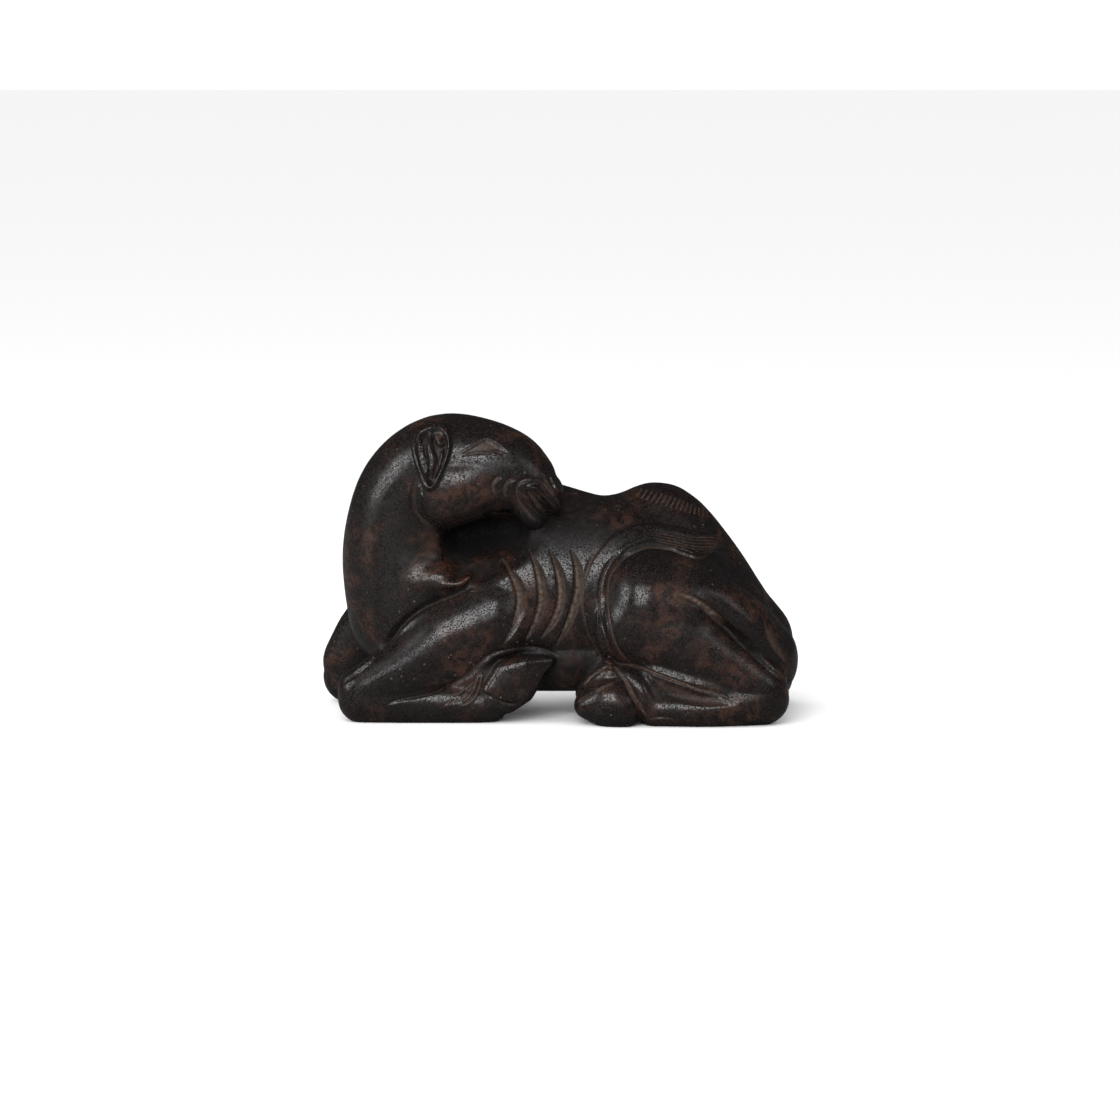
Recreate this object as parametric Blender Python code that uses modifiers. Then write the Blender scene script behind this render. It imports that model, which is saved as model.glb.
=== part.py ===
"""Recumbent two-humped camel, cut from one piece of dark stone.

Run with: blender --background --python part.py

The animal lies along X with its chest at -X and its hocks at +X. Its head turns
back over the shoulder on the -Y side, which is the near side. It rests on Z = 0.
Sizes and places are in millimetres until a mesh is made.
"""

import bmesh
import bpy
import numpy as np
from mathutils import Matrix, Vector
from mathutils.bvhtree import BVHTree

MM = 0.001
NEAR = -1
FAR = 1

# Overall size of the finished carving.
LENGTH = 100.4
DEPTH = 46.4
HEIGHT = 63.4

# Body. Tops are heights above the floor.
BELLY_HALF_DEPTH = 16.6
FRONT_HUMP_TOP = 49.8
SADDLE_TOP = 45.2
REAR_HUMP_TOP = 48.1
NECK_HALF_DEPTH = 13.8
MUZZLE_RADIUS = 6.2

# Legs. The undersides start a little below the floor, so that the sole cuts flat.
CANNON_RADIUS = 4.0
KNEE_RADIUS = 5.2
HOCK_RADIUS = 5.5
SOLE_SINK = 0.6

# Openings: the arch under the belly and the blind pocket under the jaw.
ARCH_WIDTH = 9.2
ARCH_HEIGHT = 4.9
POCKET_HEIGHT = 9.6
POCKET_FLOOR_Y = -1.5

# Carved marks.
RIB_WIDTH = 2.6
RIB_DEPTH = 1.1
TAIL_WIDTH = 4.8
TAIL_RISE = 0.9
EAR_LENGTH = 14.1
EAR_WIDTH = 7.2
EAR_RISE = 1.1
LINE_WIDTH = 1.7
LINE_DEPTH = 0.8
SHANK_GROOVE_WIDTH = 2.8
SHANK_GROOVE_DEPTH = 1.3

# Modelling fineness.
CLAY_VOXEL = 0.6
FINE_VOXEL = 0.5
BEADS_PER_SPAN = 4
PATH_SPACING = 0.4
TARGET_TRIANGLES = 8600

CANNON_Z = CANNON_RADIUS - SOLE_SINK
KNEE_Z = KNEE_RADIUS - SOLE_SINK
HOCK_Z = HOCK_RADIUS - SOLE_SINK

# Every mass is a smooth run of ellipsoids: centre x, y, z and radii x, y, z.
SOFT_MASSES = {
    "trunk": [
        (-26, 1, 22, 13, 15, 16.5),
        (-12, 1, 24, 14, 16, 19),
        (4, 1.5, 25, 14, BELLY_HALF_DEPTH, 20),
        (20, 2, 24.5, 14, 16.8, 20),
        (33, 2, 18.6, 12, 16, 13.4),
    ],
    "back": [
        (-8, 6.5, FRONT_HUMP_TOP - 11.8, 8.5, 8.5, 11.8),
        (2, 5, 36, 8, 9, 10.8),
        (9, 3.7, SADDLE_TOP - 10.2, 8.2, 9.5, 10.2),
        (15, 3, 35.3, 8.8, 10, 11),
        (21.5, 2.5, REAR_HUMP_TOP - 12, 10, 10.5, 12),
        (27.5, 2.8, 28, 11.6, 12.5, 12.4),
        (34.5, 3, 17.7, 11.2, 14, 12.2),
    ],
    "rump": [(34.5, 3, 17.7, 11.2, 14, 12.2), (42, 3.5, 14.2, 7.4, 10, 9)],
    "neck_and_head": [
        (-29, 0, 20.5, 15.5, 14.5, 13),
        (-31.8, 0, 30, 13.9, NECK_HALF_DEPTH, 12),
        (-33, -0.5, 38, 12.2, 12.8, 11),
        (-30.6, -1.8, 46.7, 11.6, 12.2, 11.3),
        (-24.6, -4.5, 52, 10.8, 11.5, 11.2),
        (-16.5, -6.8, 52.6, 7.6, 9.6, 10.1),
        (-10, -7.8, 51.4, 7, 8.3, 8.7),
        (-5.8, -8.3, 49, MUZZLE_RADIUS, MUZZLE_RADIUS + 1.2, MUZZLE_RADIUS + 1.5),
    ],
    "neck_to_hump": [(-27, 4, 40, 8, 8, 8), (-14, 6.5, 41, 8, 8, 9)],
    "neck_fold": [
        (-31, -2, 28, 10, 12, 8),
        (-25.5, -6.5, 29.2, 6.4, 8.8, 5),
        (-20.4, -9.6, 29.8, 1.8, 6, 1.8),
    ],
    "near_haunch": [(17.4, -8, 23.6, 9.8, 15.4, 13.4), (26, -8, 22.4, 11, 14.4, 13.4)],
    "near_shank": [
        (16, -13, 20.5, 8.6, 10, 9.8),
        (24, -14.6, 18, 8, 8.8, 9),
        (33, -15.8, 12.8, 6.6, 7.4, 7.2),
        (42.3, -15.8, HOCK_Z + 2.2, 5.4, 6.6, 5.9),
    ],
    "near_forearm": [
        (-41.2, -13, KNEE_Z + 2.4, KNEE_RADIUS, KNEE_RADIUS, KNEE_RADIUS + 0.6),
        (-31, -12, 13.6, 7.2, 7, 7.5),
        (-22, -10.5, 17.8, 9, 8.6, 8.7),
        (-13.8, -8, 20.6, 9.4, 10, 10.4),
    ],
    "far_haunch": [(17.6, 9, 23, 10, 13.5, 13), (26, 8.5, 21.5, 11.5, 13, 13)],
    "far_shank": [
        (17, 13, 19, 8, 8.5, 9),
        (30, 13.5, 13.5, 7, 7.5, 8),
        (43.6, 11, 9.7, 6.4, 6.4, 8.2),
    ],
    "far_forearm": [
        (-30, 8, 23, 9, 8, 9),
        (-39.5, 12, 15.5, 7.4, 6, 8),
        (-45, 14, 8.6, 5.8, 5.2, 6.6),
    ],
}

FIRM_MASSES = {
    "jaw": [
        (-24.6, -9.5, 48, 5.4, 8.4, 8.8),
        (-20, -9.6, 49, 6, 8.2, 8),
        (-15, -9.3, 50.2, 5, 7.6, 7.2),
        (-9.5, -9, 50, 4, 6.6, 5.8),
    ],
    "chin": [(-8.6, -8.5, 47.5, 3.4, 6.4, 4.4), (-5.4, -8.8, 43.6, 3.2, 5.8, 3.9)],
    "nose": [(-6.4, -8.6, 50.6, 4.6, 6.8, 5), (-2.4, -8.9, 48.4, 3, 5.8, 3.4)],
    "upper_lip": [(-6.4, -8.6, 48.6, 3.8, 6.6, 3.4), (-1.5, -8.9, 45.8, 2.2, 5, 2.3)],
    "fold_tip": [
        (-24, -8.6, 28.8, 4, 7.2, 2.6),
        (-21, -9.6, 28.9, 1.8, 6.4, 1.3),
        (-18.7, -10.4, 30.3, 0.7, 5, 0.7),
    ],
    "near_cannon": [
        (-41, -13, KNEE_Z, KNEE_RADIUS, KNEE_RADIUS, KNEE_RADIUS),
        (-30, -13.5, CANNON_Z, 4.5, 5.2, CANNON_RADIUS),
        (-19, -14, CANNON_Z, 4, 5, CANNON_RADIUS),
        (-12.4, -13.8, CANNON_Z, 4.5, 5, CANNON_RADIUS),
    ],
    "near_forearm_low": [
        (-38, -13.2, 6.4, 4.6, 5.6, 4.4),
        (-30, -13.6, 10, 5.5, 6.3, 5.2),
        (-23, -13.2, 13.2, 6, 6.5, 6.4),
        (-17.5, -11.8, 17.2, 6, 6.7, 6.4),
    ],
    "near_fore_fill": [(-37, -9, 7, 4, 6, 5), (-16, -9.5, 9.5, 6, 7, 7)],
    "near_belly": [(-12, -6.5, 11, 6, 6.6, 6.6), (-2, -6.5, 11, 6, 6.6, 6.6), (8, -6.5, 11, 6, 6.6, 6.6)],
    "far_cannon": [
        (-44.8, 14, KNEE_Z + 0.8, 5.8, 5, KNEE_RADIUS + 0.6),
        (-32, 15, CANNON_Z, 5, 5, CANNON_RADIUS),
        (-19, 15.2, CANNON_Z, 4, 4.6, CANNON_RADIUS),
        (-12, 14.6, CANNON_Z, 4.2, 4.4, CANNON_RADIUS),
    ],
    "far_fore_fill": [(-37, 10, 8, 4, 6, 6), (-16, 10, 9, 6, 7, 7)],
    "near_metatarsus": [
        (42.2, -16.6, HOCK_Z, HOCK_RADIUS, 6, HOCK_RADIUS),
        (31, -18.6, CANNON_Z, 5, 5, CANNON_RADIUS),
        (20, -18, CANNON_Z, 4.2, 5, CANNON_RADIUS),
    ],
    "near_hind_fill": [(18, -13, 9, 6, 7, 6), (38, -12.5, 7, 4, 7, 5)],
    "near_shank_low": [(20, -15.6, 10, 4.5, 6, 5), (29, -16.4, 8, 6, 6, 4.6), (39, -16, 6.4, 4, 6, 4.4)],
    "near_thigh_fill": [(27, -12.8, 24, 4, 7, 4.6), (32, -12.6, 20.4, 4, 6.8, 4.6), (39, -11, 14.8, 4, 6.8, 4.6)],
    "near_thigh_ridge": [
        (25, -13.8, 28.6, 4.6, 6.8, 4.2),
        (32.5, -13.2, 25.2, 5.2, 7, 5.2),
        (39.6, -11, 18.6, 5.2, 8, 6.6),
        (45, -6, 12, 4.9, 9, 7.2),
    ],
    "near_toe": [(5.2, -17.8, 4, 2.6, 4, 2.8), (9.6, -18.8, 4.5, 4.6, 5, 5), (13.6, -19.6, 3.5, 3.4, 4.2, 4)],
    "near_heel": [(5.4, -15, 6, 2.2, 4, 2.4), (10.4, -15.4, 10.6, 3, 4.4, 2.4)],
    "near_second_toe": [
        (12.4, -16.8, 10.4, 2.4, 4.6, 2.4),
        (15.6, -18.2, 6.8, 2.8, 4.8, 4),
        (17.6, -18.4, 3, 2, 4.6, 3),
    ],
    "near_toe_fill": [(12.6, -15.4, 7.6, 4, 5.6, 4.4), (19, -16.2, 6, 4, 5.6, 5)],
    "far_metatarsus": [
        (43.6, 12, HOCK_Z + 0.9, 6.2, 6.2, HOCK_RADIUS + 0.6),
        (30, 15, CANNON_Z, 5, 5.6, CANNON_RADIUS),
        (19, 16.5, CANNON_Z, 4, 4.8, CANNON_RADIUS),
        (10, 16.5, CANNON_Z + 0.6, 5, 4.8, CANNON_RADIUS + 0.6),
    ],
    "far_hind_fill": [(18, 12, 9, 6, 7, 6), (38, 11, 8, 4, 7, 6)],
}

# The turned-up front hoof is one hull round its corner beads.
NEAR_HOOF = [
    (-12, -14.4, 11.3, 1.4, 3.4, 1.4),
    (-14.6, -14.6, 7, 1.6, 3.8, 1.6),
    (-7, -14.4, 12.5, 1.4, 3.2, 1.4),
    (-1.5, -13.4, 12.8, 0.7, 1.6, 0.7),
    (-6.9, -14.2, 5.6, 1.4, 3.2, 1.4),
    (-9.6, -14.4, 3.4, 1.6, 3.8, 1.6),
    (-14.5, -14.6, 3.4, 1.8, 4, 1.8),
]

# The arch is one hull too: a tunnel from side to side with rounded upper corners.
ARCH_CORNER = 1.2
ARCH_LEFT = -2 - ARCH_WIDTH / 2 + ARCH_CORNER
ARCH_RIGHT = -2 + ARCH_WIDTH / 2 - ARCH_CORNER
ARCH = [
    (x, y, z, ARCH_CORNER, 2, ARCH_CORNER)
    for x in (ARCH_LEFT, ARCH_RIGHT)
    for y in (-30, 30)
    for z in (-5, ARCH_HEIGHT - ARCH_CORNER)
]
POCKET_REACH = 12
POCKET_Y = POCKET_FLOOR_Y - POCKET_REACH
POCKET = [
    (-20.4, POCKET_Y, 37.6, 4.4, POCKET_REACH, POCKET_HEIGHT / 2),
    (-16, POCKET_Y, 38.6, 4.6, POCKET_REACH, POCKET_HEIGHT / 2),
    (-10.5, POCKET_Y - 3, 40, 4.5, POCKET_REACH, POCKET_HEIGHT / 2),
]

# Marks, as points x, z in side view. A third value is a share of the mark's width.
# A rib is an arc through its top, its middle and its lower end.
RIBS = [
    ((-12, 33.6), (-7.9, 25), (-11.8, 16.2)),
    ((-6.4, 35.8), (-3.5, 26), (-7.2, 16.8)),
    ((-2.2, 36.1), (0.5, 26), (-4, 17.2)),
    ((2.3, 36), (3.9, 26.8), (-0.8, 15.5)),
]
RIB_SHARES = (0.25, 0.7, 1, 1, 1, 0.7, 0.3)
TAIL = [
    (10.6, 13, 0.35),
    (9.4, 15.7, 0.6),
    (8.2, 19.6, 0.8),
    (7.4, 25.5, 1),
    (8.4, 31, 1),
    (10.4, 34.1, 1),
    (13.3, 36.6, 1),
    (18.4, 38.5, 1),
    (24, 38.1, 1.05),
    (27.9, 36.9, 1.1),
    (31.3, 36.4, 0.6),
    (33.7, 36.6, 0.15),
]
EAR_CENTRE = (-26.2, 54.9)
EAR_OUTLINE = [
    (-0.05, 0.5),
    (-0.5, 0.27),
    (-0.5, -0.12),
    (-0.32, -0.4),
    (0, -0.5),
    (0.3, -0.36),
    (0.5, -0.05),
    (0.47, 0.33),
]
NECK_FOLD = [
    (-18.4, 28.9),
    (-21.7, 26.9),
    (-25.6, 25.4),
    (-29.5, 23.4),
    (-33.5, 19.9),
    (-38.4, 13.9),
    (-44.8, 9),
]
SHANK_GROOVE = [(24, 27), (27.4, 25.4), (32.3, 22.3), (37.2, 18.1), (42.1, 13.8), (47.4, 8.2)]
THIGH_LINE = [(10.6, 13.3), (13.7, 13.1), (17.6, 12.1), (23.5, 10.1), (29.3, 8.3), (33.2, 7.2), (36.7, 5.4)]
FOREARM_LINE = [(-36.3, 4.2), (-29.4, 5), (-24.5, 6.2), (-19.6, 8.9), (-15.7, 12.4)]
FAR_THIGH_LINE = [(9, 22), (10, 16.5), (13, 12.6), (18, 11), (26, 9.6), (34, 7)]
FAR_FOREARM_LINE = [(-38, 5), (-30, 5.6), (-22, 7.6), (-17, 11)]


# Masses.
def curve_through(points, steps):
    """Points of a smooth curve through the given points, with even steps in each span."""
    points = np.array(points, dtype=float)
    before_first = 2 * points[0] - points[1]
    after_last = 2 * points[-1] - points[-2]
    ends = np.vstack([before_first, points, after_last])
    share = np.arange(steps)[:, None] / steps
    spans = []
    for a, b, c, d in zip(ends, ends[1:], ends[2:], ends[3:]):
        slope = c - a
        bend = 2 * a - 5 * b + 4 * c - d
        twist = 3 * b - a - 3 * c + d
        spans.append(b + 0.5 * share * (slope + share * (bend + share * twist)))
    spans.append(points[-1:])
    return np.vstack(spans)


def add_hull(mesh, beads):
    """Adds to the mesh the convex hull round the given ellipsoids."""
    lump = bmesh.new()
    for x, y, z, radius_x, radius_y, radius_z in beads:
        place = Matrix.Translation(Vector((x, y, z)) * MM)
        size = Matrix.Diagonal((radius_x * MM, radius_y * MM, radius_z * MM, 1))
        bmesh.ops.create_icosphere(lump, subdivisions=3, radius=1, matrix=place @ size)
    result = bmesh.ops.convex_hull(lump, input=lump.verts[:])
    inside = {g for g in result["geom_interior"] + result["geom_unused"] if isinstance(g, bmesh.types.BMVert)}
    bmesh.ops.delete(lump, geom=list(inside), context="VERTS")
    bmesh.ops.recalc_face_normals(lump, faces=lump.faces[:])
    lump_mesh = bpy.data.meshes.new("lump")
    lump.to_mesh(lump_mesh)
    lump.free()
    mesh.from_mesh(lump_mesh)
    bpy.data.meshes.remove(lump_mesh)


def add_run(mesh, beads):
    """Adds a limb: neighbouring beads of a smooth run are hulled two by two."""
    run = curve_through(beads, BEADS_PER_SPAN)
    for pair in zip(run, run[1:]):
        add_hull(mesh, pair)


def make_object(name, runs, hulls, collection):
    """An object built from runs of beads and single hulls."""
    mesh = bmesh.new()
    for beads in runs:
        add_run(mesh, beads)
    for beads in hulls:
        add_hull(mesh, beads)
    data = bpy.data.meshes.new(name)
    mesh.to_mesh(data)
    mesh.free()
    made = bpy.data.objects.new(name, data)
    collection.objects.link(made)
    return made


def make_cutter(name, runs, hulls, collection):
    """Beads that are only used to cut."""
    cutter = make_object(name, runs, hulls, collection)
    add_voxel_remesh(cutter, CLAY_VOXEL)
    apply_modifiers(cutter)
    cutter.display_type = "WIRE"
    cutter.hide_render = True
    return cutter


# Modifiers.
def add_voxel_remesh(target, voxel):
    """Joins all the overlapping masses into one skin."""
    modifier = target.modifiers.new("one_skin", "REMESH")
    modifier.mode = "VOXEL"
    modifier.voxel_size = voxel * MM


def add_smooth(target, repeats):
    """Rounds the joins between masses."""
    modifier = target.modifiers.new("polish", "SMOOTH")
    modifier.factor = 0.5
    modifier.iterations = repeats


def add_cut(target, cutter):
    modifier = target.modifiers.new("cut_" + cutter.name, "BOOLEAN")
    modifier.operation = "DIFFERENCE"
    modifier.object = cutter


def add_decimate(target, triangles):
    modifier = target.modifiers.new("fewer_facets", "DECIMATE")
    modifier.ratio = triangles / (2 * len(target.data.polygons))
    modifier.use_collapse_triangulate = True


def apply_modifiers(target):
    """Replaces the object's mesh with its evaluated one."""
    depsgraph = bpy.context.evaluated_depsgraph_get()
    finished = bpy.data.meshes.new_from_object(target.evaluated_get(depsgraph))
    rough = target.data
    target.modifiers.clear()
    target.data = finished
    bpy.data.meshes.remove(rough)


# Carving.
def ease(share):
    """0 to 1 with a soft start and end."""
    share = np.clip(share, 0, 1)
    return share * share * (3 - 2 * share)


def round_groove(across):
    return -((1 - across * across) ** 1.5)


def raised_band(across):
    return ease((1 - np.abs(across)) / 0.45)


def wall_on_right(across):
    """A cut that slopes down gently from its left edge to a steep wall on its right."""
    floor = ease((across + 1) / 1.45) ** 1.3
    wall = ease((1 - across) / 0.55)
    return -np.where(across < 0.45, floor, wall)


def wall_on_left(across):
    return wall_on_right(-across)


def read_surface(body):
    """Vertex places and normals, in millimetres, and a search tree over the faces."""
    count = len(body.data.vertices)
    places = np.empty(count * 3)
    normals = np.empty(count * 3)
    body.data.vertices.foreach_get("co", places)
    body.data.vertices.foreach_get("normal", normals)
    mesh = bmesh.new()
    mesh.from_mesh(body.data)
    tree = BVHTree.FromBMesh(mesh)
    mesh.free()
    return places.reshape(-1, 3) / MM, normals.reshape(-1, 3), tree


def write_surface(body, places):
    body.data.vertices.foreach_set("co", (places * MM).ravel())
    body.data.update()


def lay_on_surface(tree, points, side):
    """Projects side-view points onto the surface, evenly spaced, with width shares."""
    dense = curve_through(points, 24)
    lengths = np.linalg.norm(np.diff(dense[:, :2], axis=0), axis=1)
    travelled = np.concatenate([[0], np.cumsum(lengths)])
    stations = np.linspace(0, travelled[-1], max(4, int(travelled[-1] / PATH_SPACING)))
    path = [np.interp(stations, travelled, column) for column in dense.T]
    places = []
    normals = []
    shares = []
    for x, z, share in zip(*path):
        start = Vector((x, side * 60, z)) * MM
        place, normal, _, _ = tree.ray_cast(start, Vector((0, -side, 0)))
        if place is not None:
            places.append(np.array(place) / MM)
            normals.append(np.array(normal))
            shares.append(share)
    return np.array(places), running_mean(np.array(normals)), np.array(shares)


def running_mean(vectors):
    """Unit vectors averaged with their five neighbours on each side."""
    padded = np.vstack([vectors[:1]] * 5 + [vectors] + [vectors[-1:]] * 5)
    window = np.ones(11) / 11
    mean = np.stack([np.convolve(column, window, "valid") for column in padded.T], axis=1)
    return mean / np.linalg.norm(mean, axis=1, keepdims=True)


def carve_line(surface, points, width, depth, section, side=NEAR, open_ends=False):
    """Moves the surface along a line by depth times the section across it."""
    places, normals, tree = surface
    points = [point if len(point) == 3 else (*point, 1) for point in points]
    path, outward, shares = lay_on_surface(tree, points, side)
    along = np.gradient(path, axis=0)
    across = np.cross(along, outward)
    across /= np.linalg.norm(across, axis=1, keepdims=True)
    reach = width
    low = path.min(axis=0) - reach
    high = path.max(axis=0) + reach
    picked = np.flatnonzero(np.all((places > low) & (places < high), axis=1))
    gaps = np.linalg.norm(places[picked][:, None] - path[None], axis=2)
    station = gaps.argmin(axis=1)
    offset = places[picked] - path[station]
    half_width = shares[station] * width / 2
    side_step = (offset * across[station]).sum(axis=1)
    past_end = (station == 0) | (station == len(path) - 1)
    side_step = np.where(past_end, np.sign(side_step) * np.linalg.norm(offset, axis=1), side_step)
    share_across = np.clip(side_step / half_width, -1, 1)
    lift = np.abs((offset * outward[station]).sum(axis=1))
    facing = (normals[picked] * outward[station]).sum(axis=1) > 0.1
    progress = station / (len(path) - 1)
    fade = 1 if open_ends else np.clip(np.minimum(progress, 1 - progress) / 0.22, 0, 1) ** 0.7
    amount = depth * fade * section(share_across)
    amount = np.where(facing & (lift < 2.5 + half_width), amount, 0)
    places[picked] += outward[station] * amount[:, None]


def raise_patch(surface, outline, rise, edge, side=NEAR):
    """Lifts the surface inside a closed side-view outline, with a rounded edge."""
    places, normals, tree = surface
    ring = curve_through([*outline, outline[0]], 8)
    depths = [tree.ray_cast(Vector((x, side * 60, z)) * MM, Vector((0, -side, 0)))[0] for x, z in ring]
    depths = [depth.y / MM for depth in depths if depth is not None]
    near_depth = (places[:, 1] > min(depths) - 3) & (places[:, 1] < max(depths) + 3)
    picked = np.flatnonzero(near_depth & (normals[:, 1] * side > 0.15))
    spot = places[picked][:, [0, 2]]
    crossings = np.zeros(len(picked), dtype=int)
    distance = np.full(len(picked), np.inf)
    for start, end in zip(ring, ring[1:]):
        step = end - start
        share = np.clip((spot - start) @ step / (step @ step), 0, 1)
        distance = np.minimum(distance, np.linalg.norm(spot - start - share[:, None] * step, axis=1))
        spans = (start[1] > spot[:, 1]) != (end[1] > spot[:, 1])
        slope = step[0] / step[1] if step[1] else 0
        crossings += spans & (spot[:, 0] < start[0] + (spot[:, 1] - start[1]) * slope)
    lift = np.where(crossings % 2 == 1, rise * ease(distance / edge), 0)
    places[picked] += normals[picked] * lift[:, None]


def rib_arc(top, middle, bottom):
    """Seven points of a rib's arc, with its width shares."""
    shares = np.linspace(0, 1, len(RIB_SHARES))
    points = []
    for share, width in zip(shares, RIB_SHARES):
        weights = (1 - 3 * share + 2 * share**2, 4 * share - 4 * share**2, 2 * share**2 - share)
        x = sum(weight * point[0] for weight, point in zip(weights, (top, middle, bottom)))
        z = sum(weight * point[1] for weight, point in zip(weights, (top, middle, bottom)))
        points.append((x, z, width))
    return points


def carve_raised_marks(body):
    """The tail laid over the haunch, and the ear."""
    surface = read_surface(body)
    carve_line(surface, TAIL, TAIL_WIDTH, TAIL_RISE, raised_band, open_ends=True)
    ear = [(EAR_CENTRE[0] + x * EAR_WIDTH, EAR_CENTRE[1] + z * EAR_LENGTH) for x, z in EAR_OUTLINE]
    raise_patch(surface, ear, EAR_RISE, 1)
    write_surface(body, surface[0])


def carve_cut_marks(body):
    """Ribs, the neck's fold and the lines that part the legs."""
    surface = read_surface(body)
    for rib in RIBS:
        carve_line(surface, rib_arc(*rib), RIB_WIDTH, RIB_DEPTH, wall_on_right)
        carve_line(surface, rib_arc(*rib), RIB_WIDTH, RIB_DEPTH, wall_on_left, side=FAR)
    carve_line(surface, NECK_FOLD, LINE_WIDTH * 1.3, LINE_DEPTH * 1.3, round_groove)
    carve_line(surface, SHANK_GROOVE, SHANK_GROOVE_WIDTH, SHANK_GROOVE_DEPTH, wall_on_left)
    carve_line(surface, THIGH_LINE, LINE_WIDTH, LINE_DEPTH, wall_on_left)
    carve_line(surface, FOREARM_LINE, LINE_WIDTH, LINE_DEPTH, round_groove)
    carve_line(surface, FAR_THIGH_LINE, LINE_WIDTH, LINE_DEPTH, round_groove, side=FAR)
    carve_line(surface, FAR_FOREARM_LINE, LINE_WIDTH, LINE_DEPTH, round_groove, side=FAR)
    write_surface(body, surface[0])


# The carving.
def make_body(parts, cutters):
    """The whole animal as one closed skin, before its sole is cut."""
    body = make_object("camel_figurine", SOFT_MASSES.values(), [], parts)
    add_voxel_remesh(body, CLAY_VOXEL)
    add_smooth(body, 20)
    add_cut(body, make_cutter("jaw_pocket", [POCKET], [], cutters))
    apply_modifiers(body)
    limbs = make_object("limbs", FIRM_MASSES.values(), [NEAR_HOOF], cutters)
    mesh = bmesh.new()
    mesh.from_mesh(body.data)
    mesh.from_mesh(limbs.data)
    mesh.to_mesh(body.data)
    mesh.free()
    bpy.data.objects.remove(limbs)
    add_voxel_remesh(body, FINE_VOXEL)
    add_cut(body, make_cutter("belly_arch", [], [ARCH], cutters))
    add_voxel_remesh(body, FINE_VOXEL)
    add_smooth(body, 5)
    apply_modifiers(body)
    return body


def cut_sole(body, cutters):
    """Cuts everything below the floor away, which leaves flat feet."""
    bpy.ops.mesh.primitive_cube_add(size=1, location=(0, 0, -10 * MM))
    floor = bpy.context.object
    floor.name = "floor"
    floor.scale = (200 * MM, 100 * MM, 20 * MM)
    floor.display_type = "WIRE"
    floor.hide_render = True
    for collection in floor.users_collection:
        collection.objects.unlink(floor)
    cutters.objects.link(floor)
    add_cut(body, floor)
    apply_modifiers(body)


def fit_box(body):
    """Brings the body to its overall size, centred over the origin."""
    places = read_surface(body)[0]
    low = places.min(axis=0)
    high = places.max(axis=0)
    size = np.array([LENGTH, DEPTH, HEIGHT])
    places = (places - low) / (high - low) * size
    places -= np.array([LENGTH / 2, DEPTH / 2, 0])
    write_surface(body, places)


def stone_material():
    material = bpy.data.materials.new("dark_jade")
    material.use_nodes = True
    principled = material.node_tree.nodes["Principled BSDF"]
    principled.inputs["Base Color"].default_value = (0.022, 0.014, 0.011, 1)
    principled.inputs["Roughness"].default_value = 0.34
    principled.inputs["Metallic"].default_value = 0
    return material


def new_collection(name):
    collection = bpy.data.collections.new(name)
    bpy.context.scene.collection.children.link(collection)
    return collection


def main():
    for old in list(bpy.data.objects):
        bpy.data.objects.remove(old, do_unlink=True)
    parts = new_collection("jade_figurine")
    cutters = new_collection("cutters")
    body = make_body(parts, cutters)
    carve_raised_marks(body)
    carve_cut_marks(body)
    add_decimate(body, TARGET_TRIANGLES)
    apply_modifiers(body)
    cut_sole(body, cutters)
    fit_box(body)
    body.data.shade_smooth()
    body.data.materials.append(stone_material())


main()
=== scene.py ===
"""Recumbent two-humped camel in dark jade: the finished carving, its polish and a plain studio.

The animal lies along X with its chest at -X. Its head turns back over the shoulder on
the -Y side, the near side. The carving is worked in millimetres, in its own frame, and
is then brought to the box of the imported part.
"""

import bmesh
import bpy
import numpy as np
from bpy.props import FloatProperty, FloatVectorProperty, PointerProperty
from mathutils import Matrix, Vector
from mathutils.bvhtree import BVHTree


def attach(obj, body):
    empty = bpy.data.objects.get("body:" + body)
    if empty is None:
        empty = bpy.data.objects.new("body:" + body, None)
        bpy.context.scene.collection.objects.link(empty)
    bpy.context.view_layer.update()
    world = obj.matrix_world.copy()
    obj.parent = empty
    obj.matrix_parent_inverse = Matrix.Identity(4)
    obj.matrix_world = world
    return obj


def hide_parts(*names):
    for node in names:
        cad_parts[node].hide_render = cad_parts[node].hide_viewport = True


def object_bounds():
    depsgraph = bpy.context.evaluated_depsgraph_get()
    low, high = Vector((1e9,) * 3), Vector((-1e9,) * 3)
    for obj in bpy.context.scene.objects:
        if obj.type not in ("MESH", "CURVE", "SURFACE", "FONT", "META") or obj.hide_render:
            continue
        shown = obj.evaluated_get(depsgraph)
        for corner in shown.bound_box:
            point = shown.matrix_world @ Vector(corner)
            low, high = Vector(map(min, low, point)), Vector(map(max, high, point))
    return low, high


bl_info = {
    "name": "Jade Camel",
    "version": (1, 0, 0),
    "blender": (4, 5, 0),
    "location": "View3D > Sidebar > Jade Camel",
    "description": "Carves a recumbent two-humped camel in dark jade and sets it in a plain studio",
    "category": "Object",
}

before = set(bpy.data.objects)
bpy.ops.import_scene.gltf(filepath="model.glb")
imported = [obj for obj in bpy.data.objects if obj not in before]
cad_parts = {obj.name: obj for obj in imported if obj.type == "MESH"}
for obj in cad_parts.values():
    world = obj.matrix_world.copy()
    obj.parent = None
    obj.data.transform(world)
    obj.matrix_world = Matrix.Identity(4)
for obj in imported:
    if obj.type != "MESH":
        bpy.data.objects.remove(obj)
CAD_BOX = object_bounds()

MM = 0.001

# Views that marks are drawn in: the axis looked along, the sign of the side that
# is seen, and the two axes of the drawing.
NEAR = (1, -1, (0, 2))
FAR = (1, 1, (0, 2))
# Modelling fineness: voxels, path spacing and the smallest half width in millimetres,
# curve points in each span, and how many times each skin is rubbed smooth.
CLAY_VOXEL = 0.55
FINE_VOXEL = 0.32
BEADS_PER_SPAN = 4
LINE_STEPS = 24
OUTLINE_STEPS = 8
PATH_SPACING = 0.25
THINNEST_HALF = 0.05
CLAY_RUBS = 22
SKIN_RUBS = 10
LAST_RUBS = 1
TRIANGLES = 192000

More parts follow.
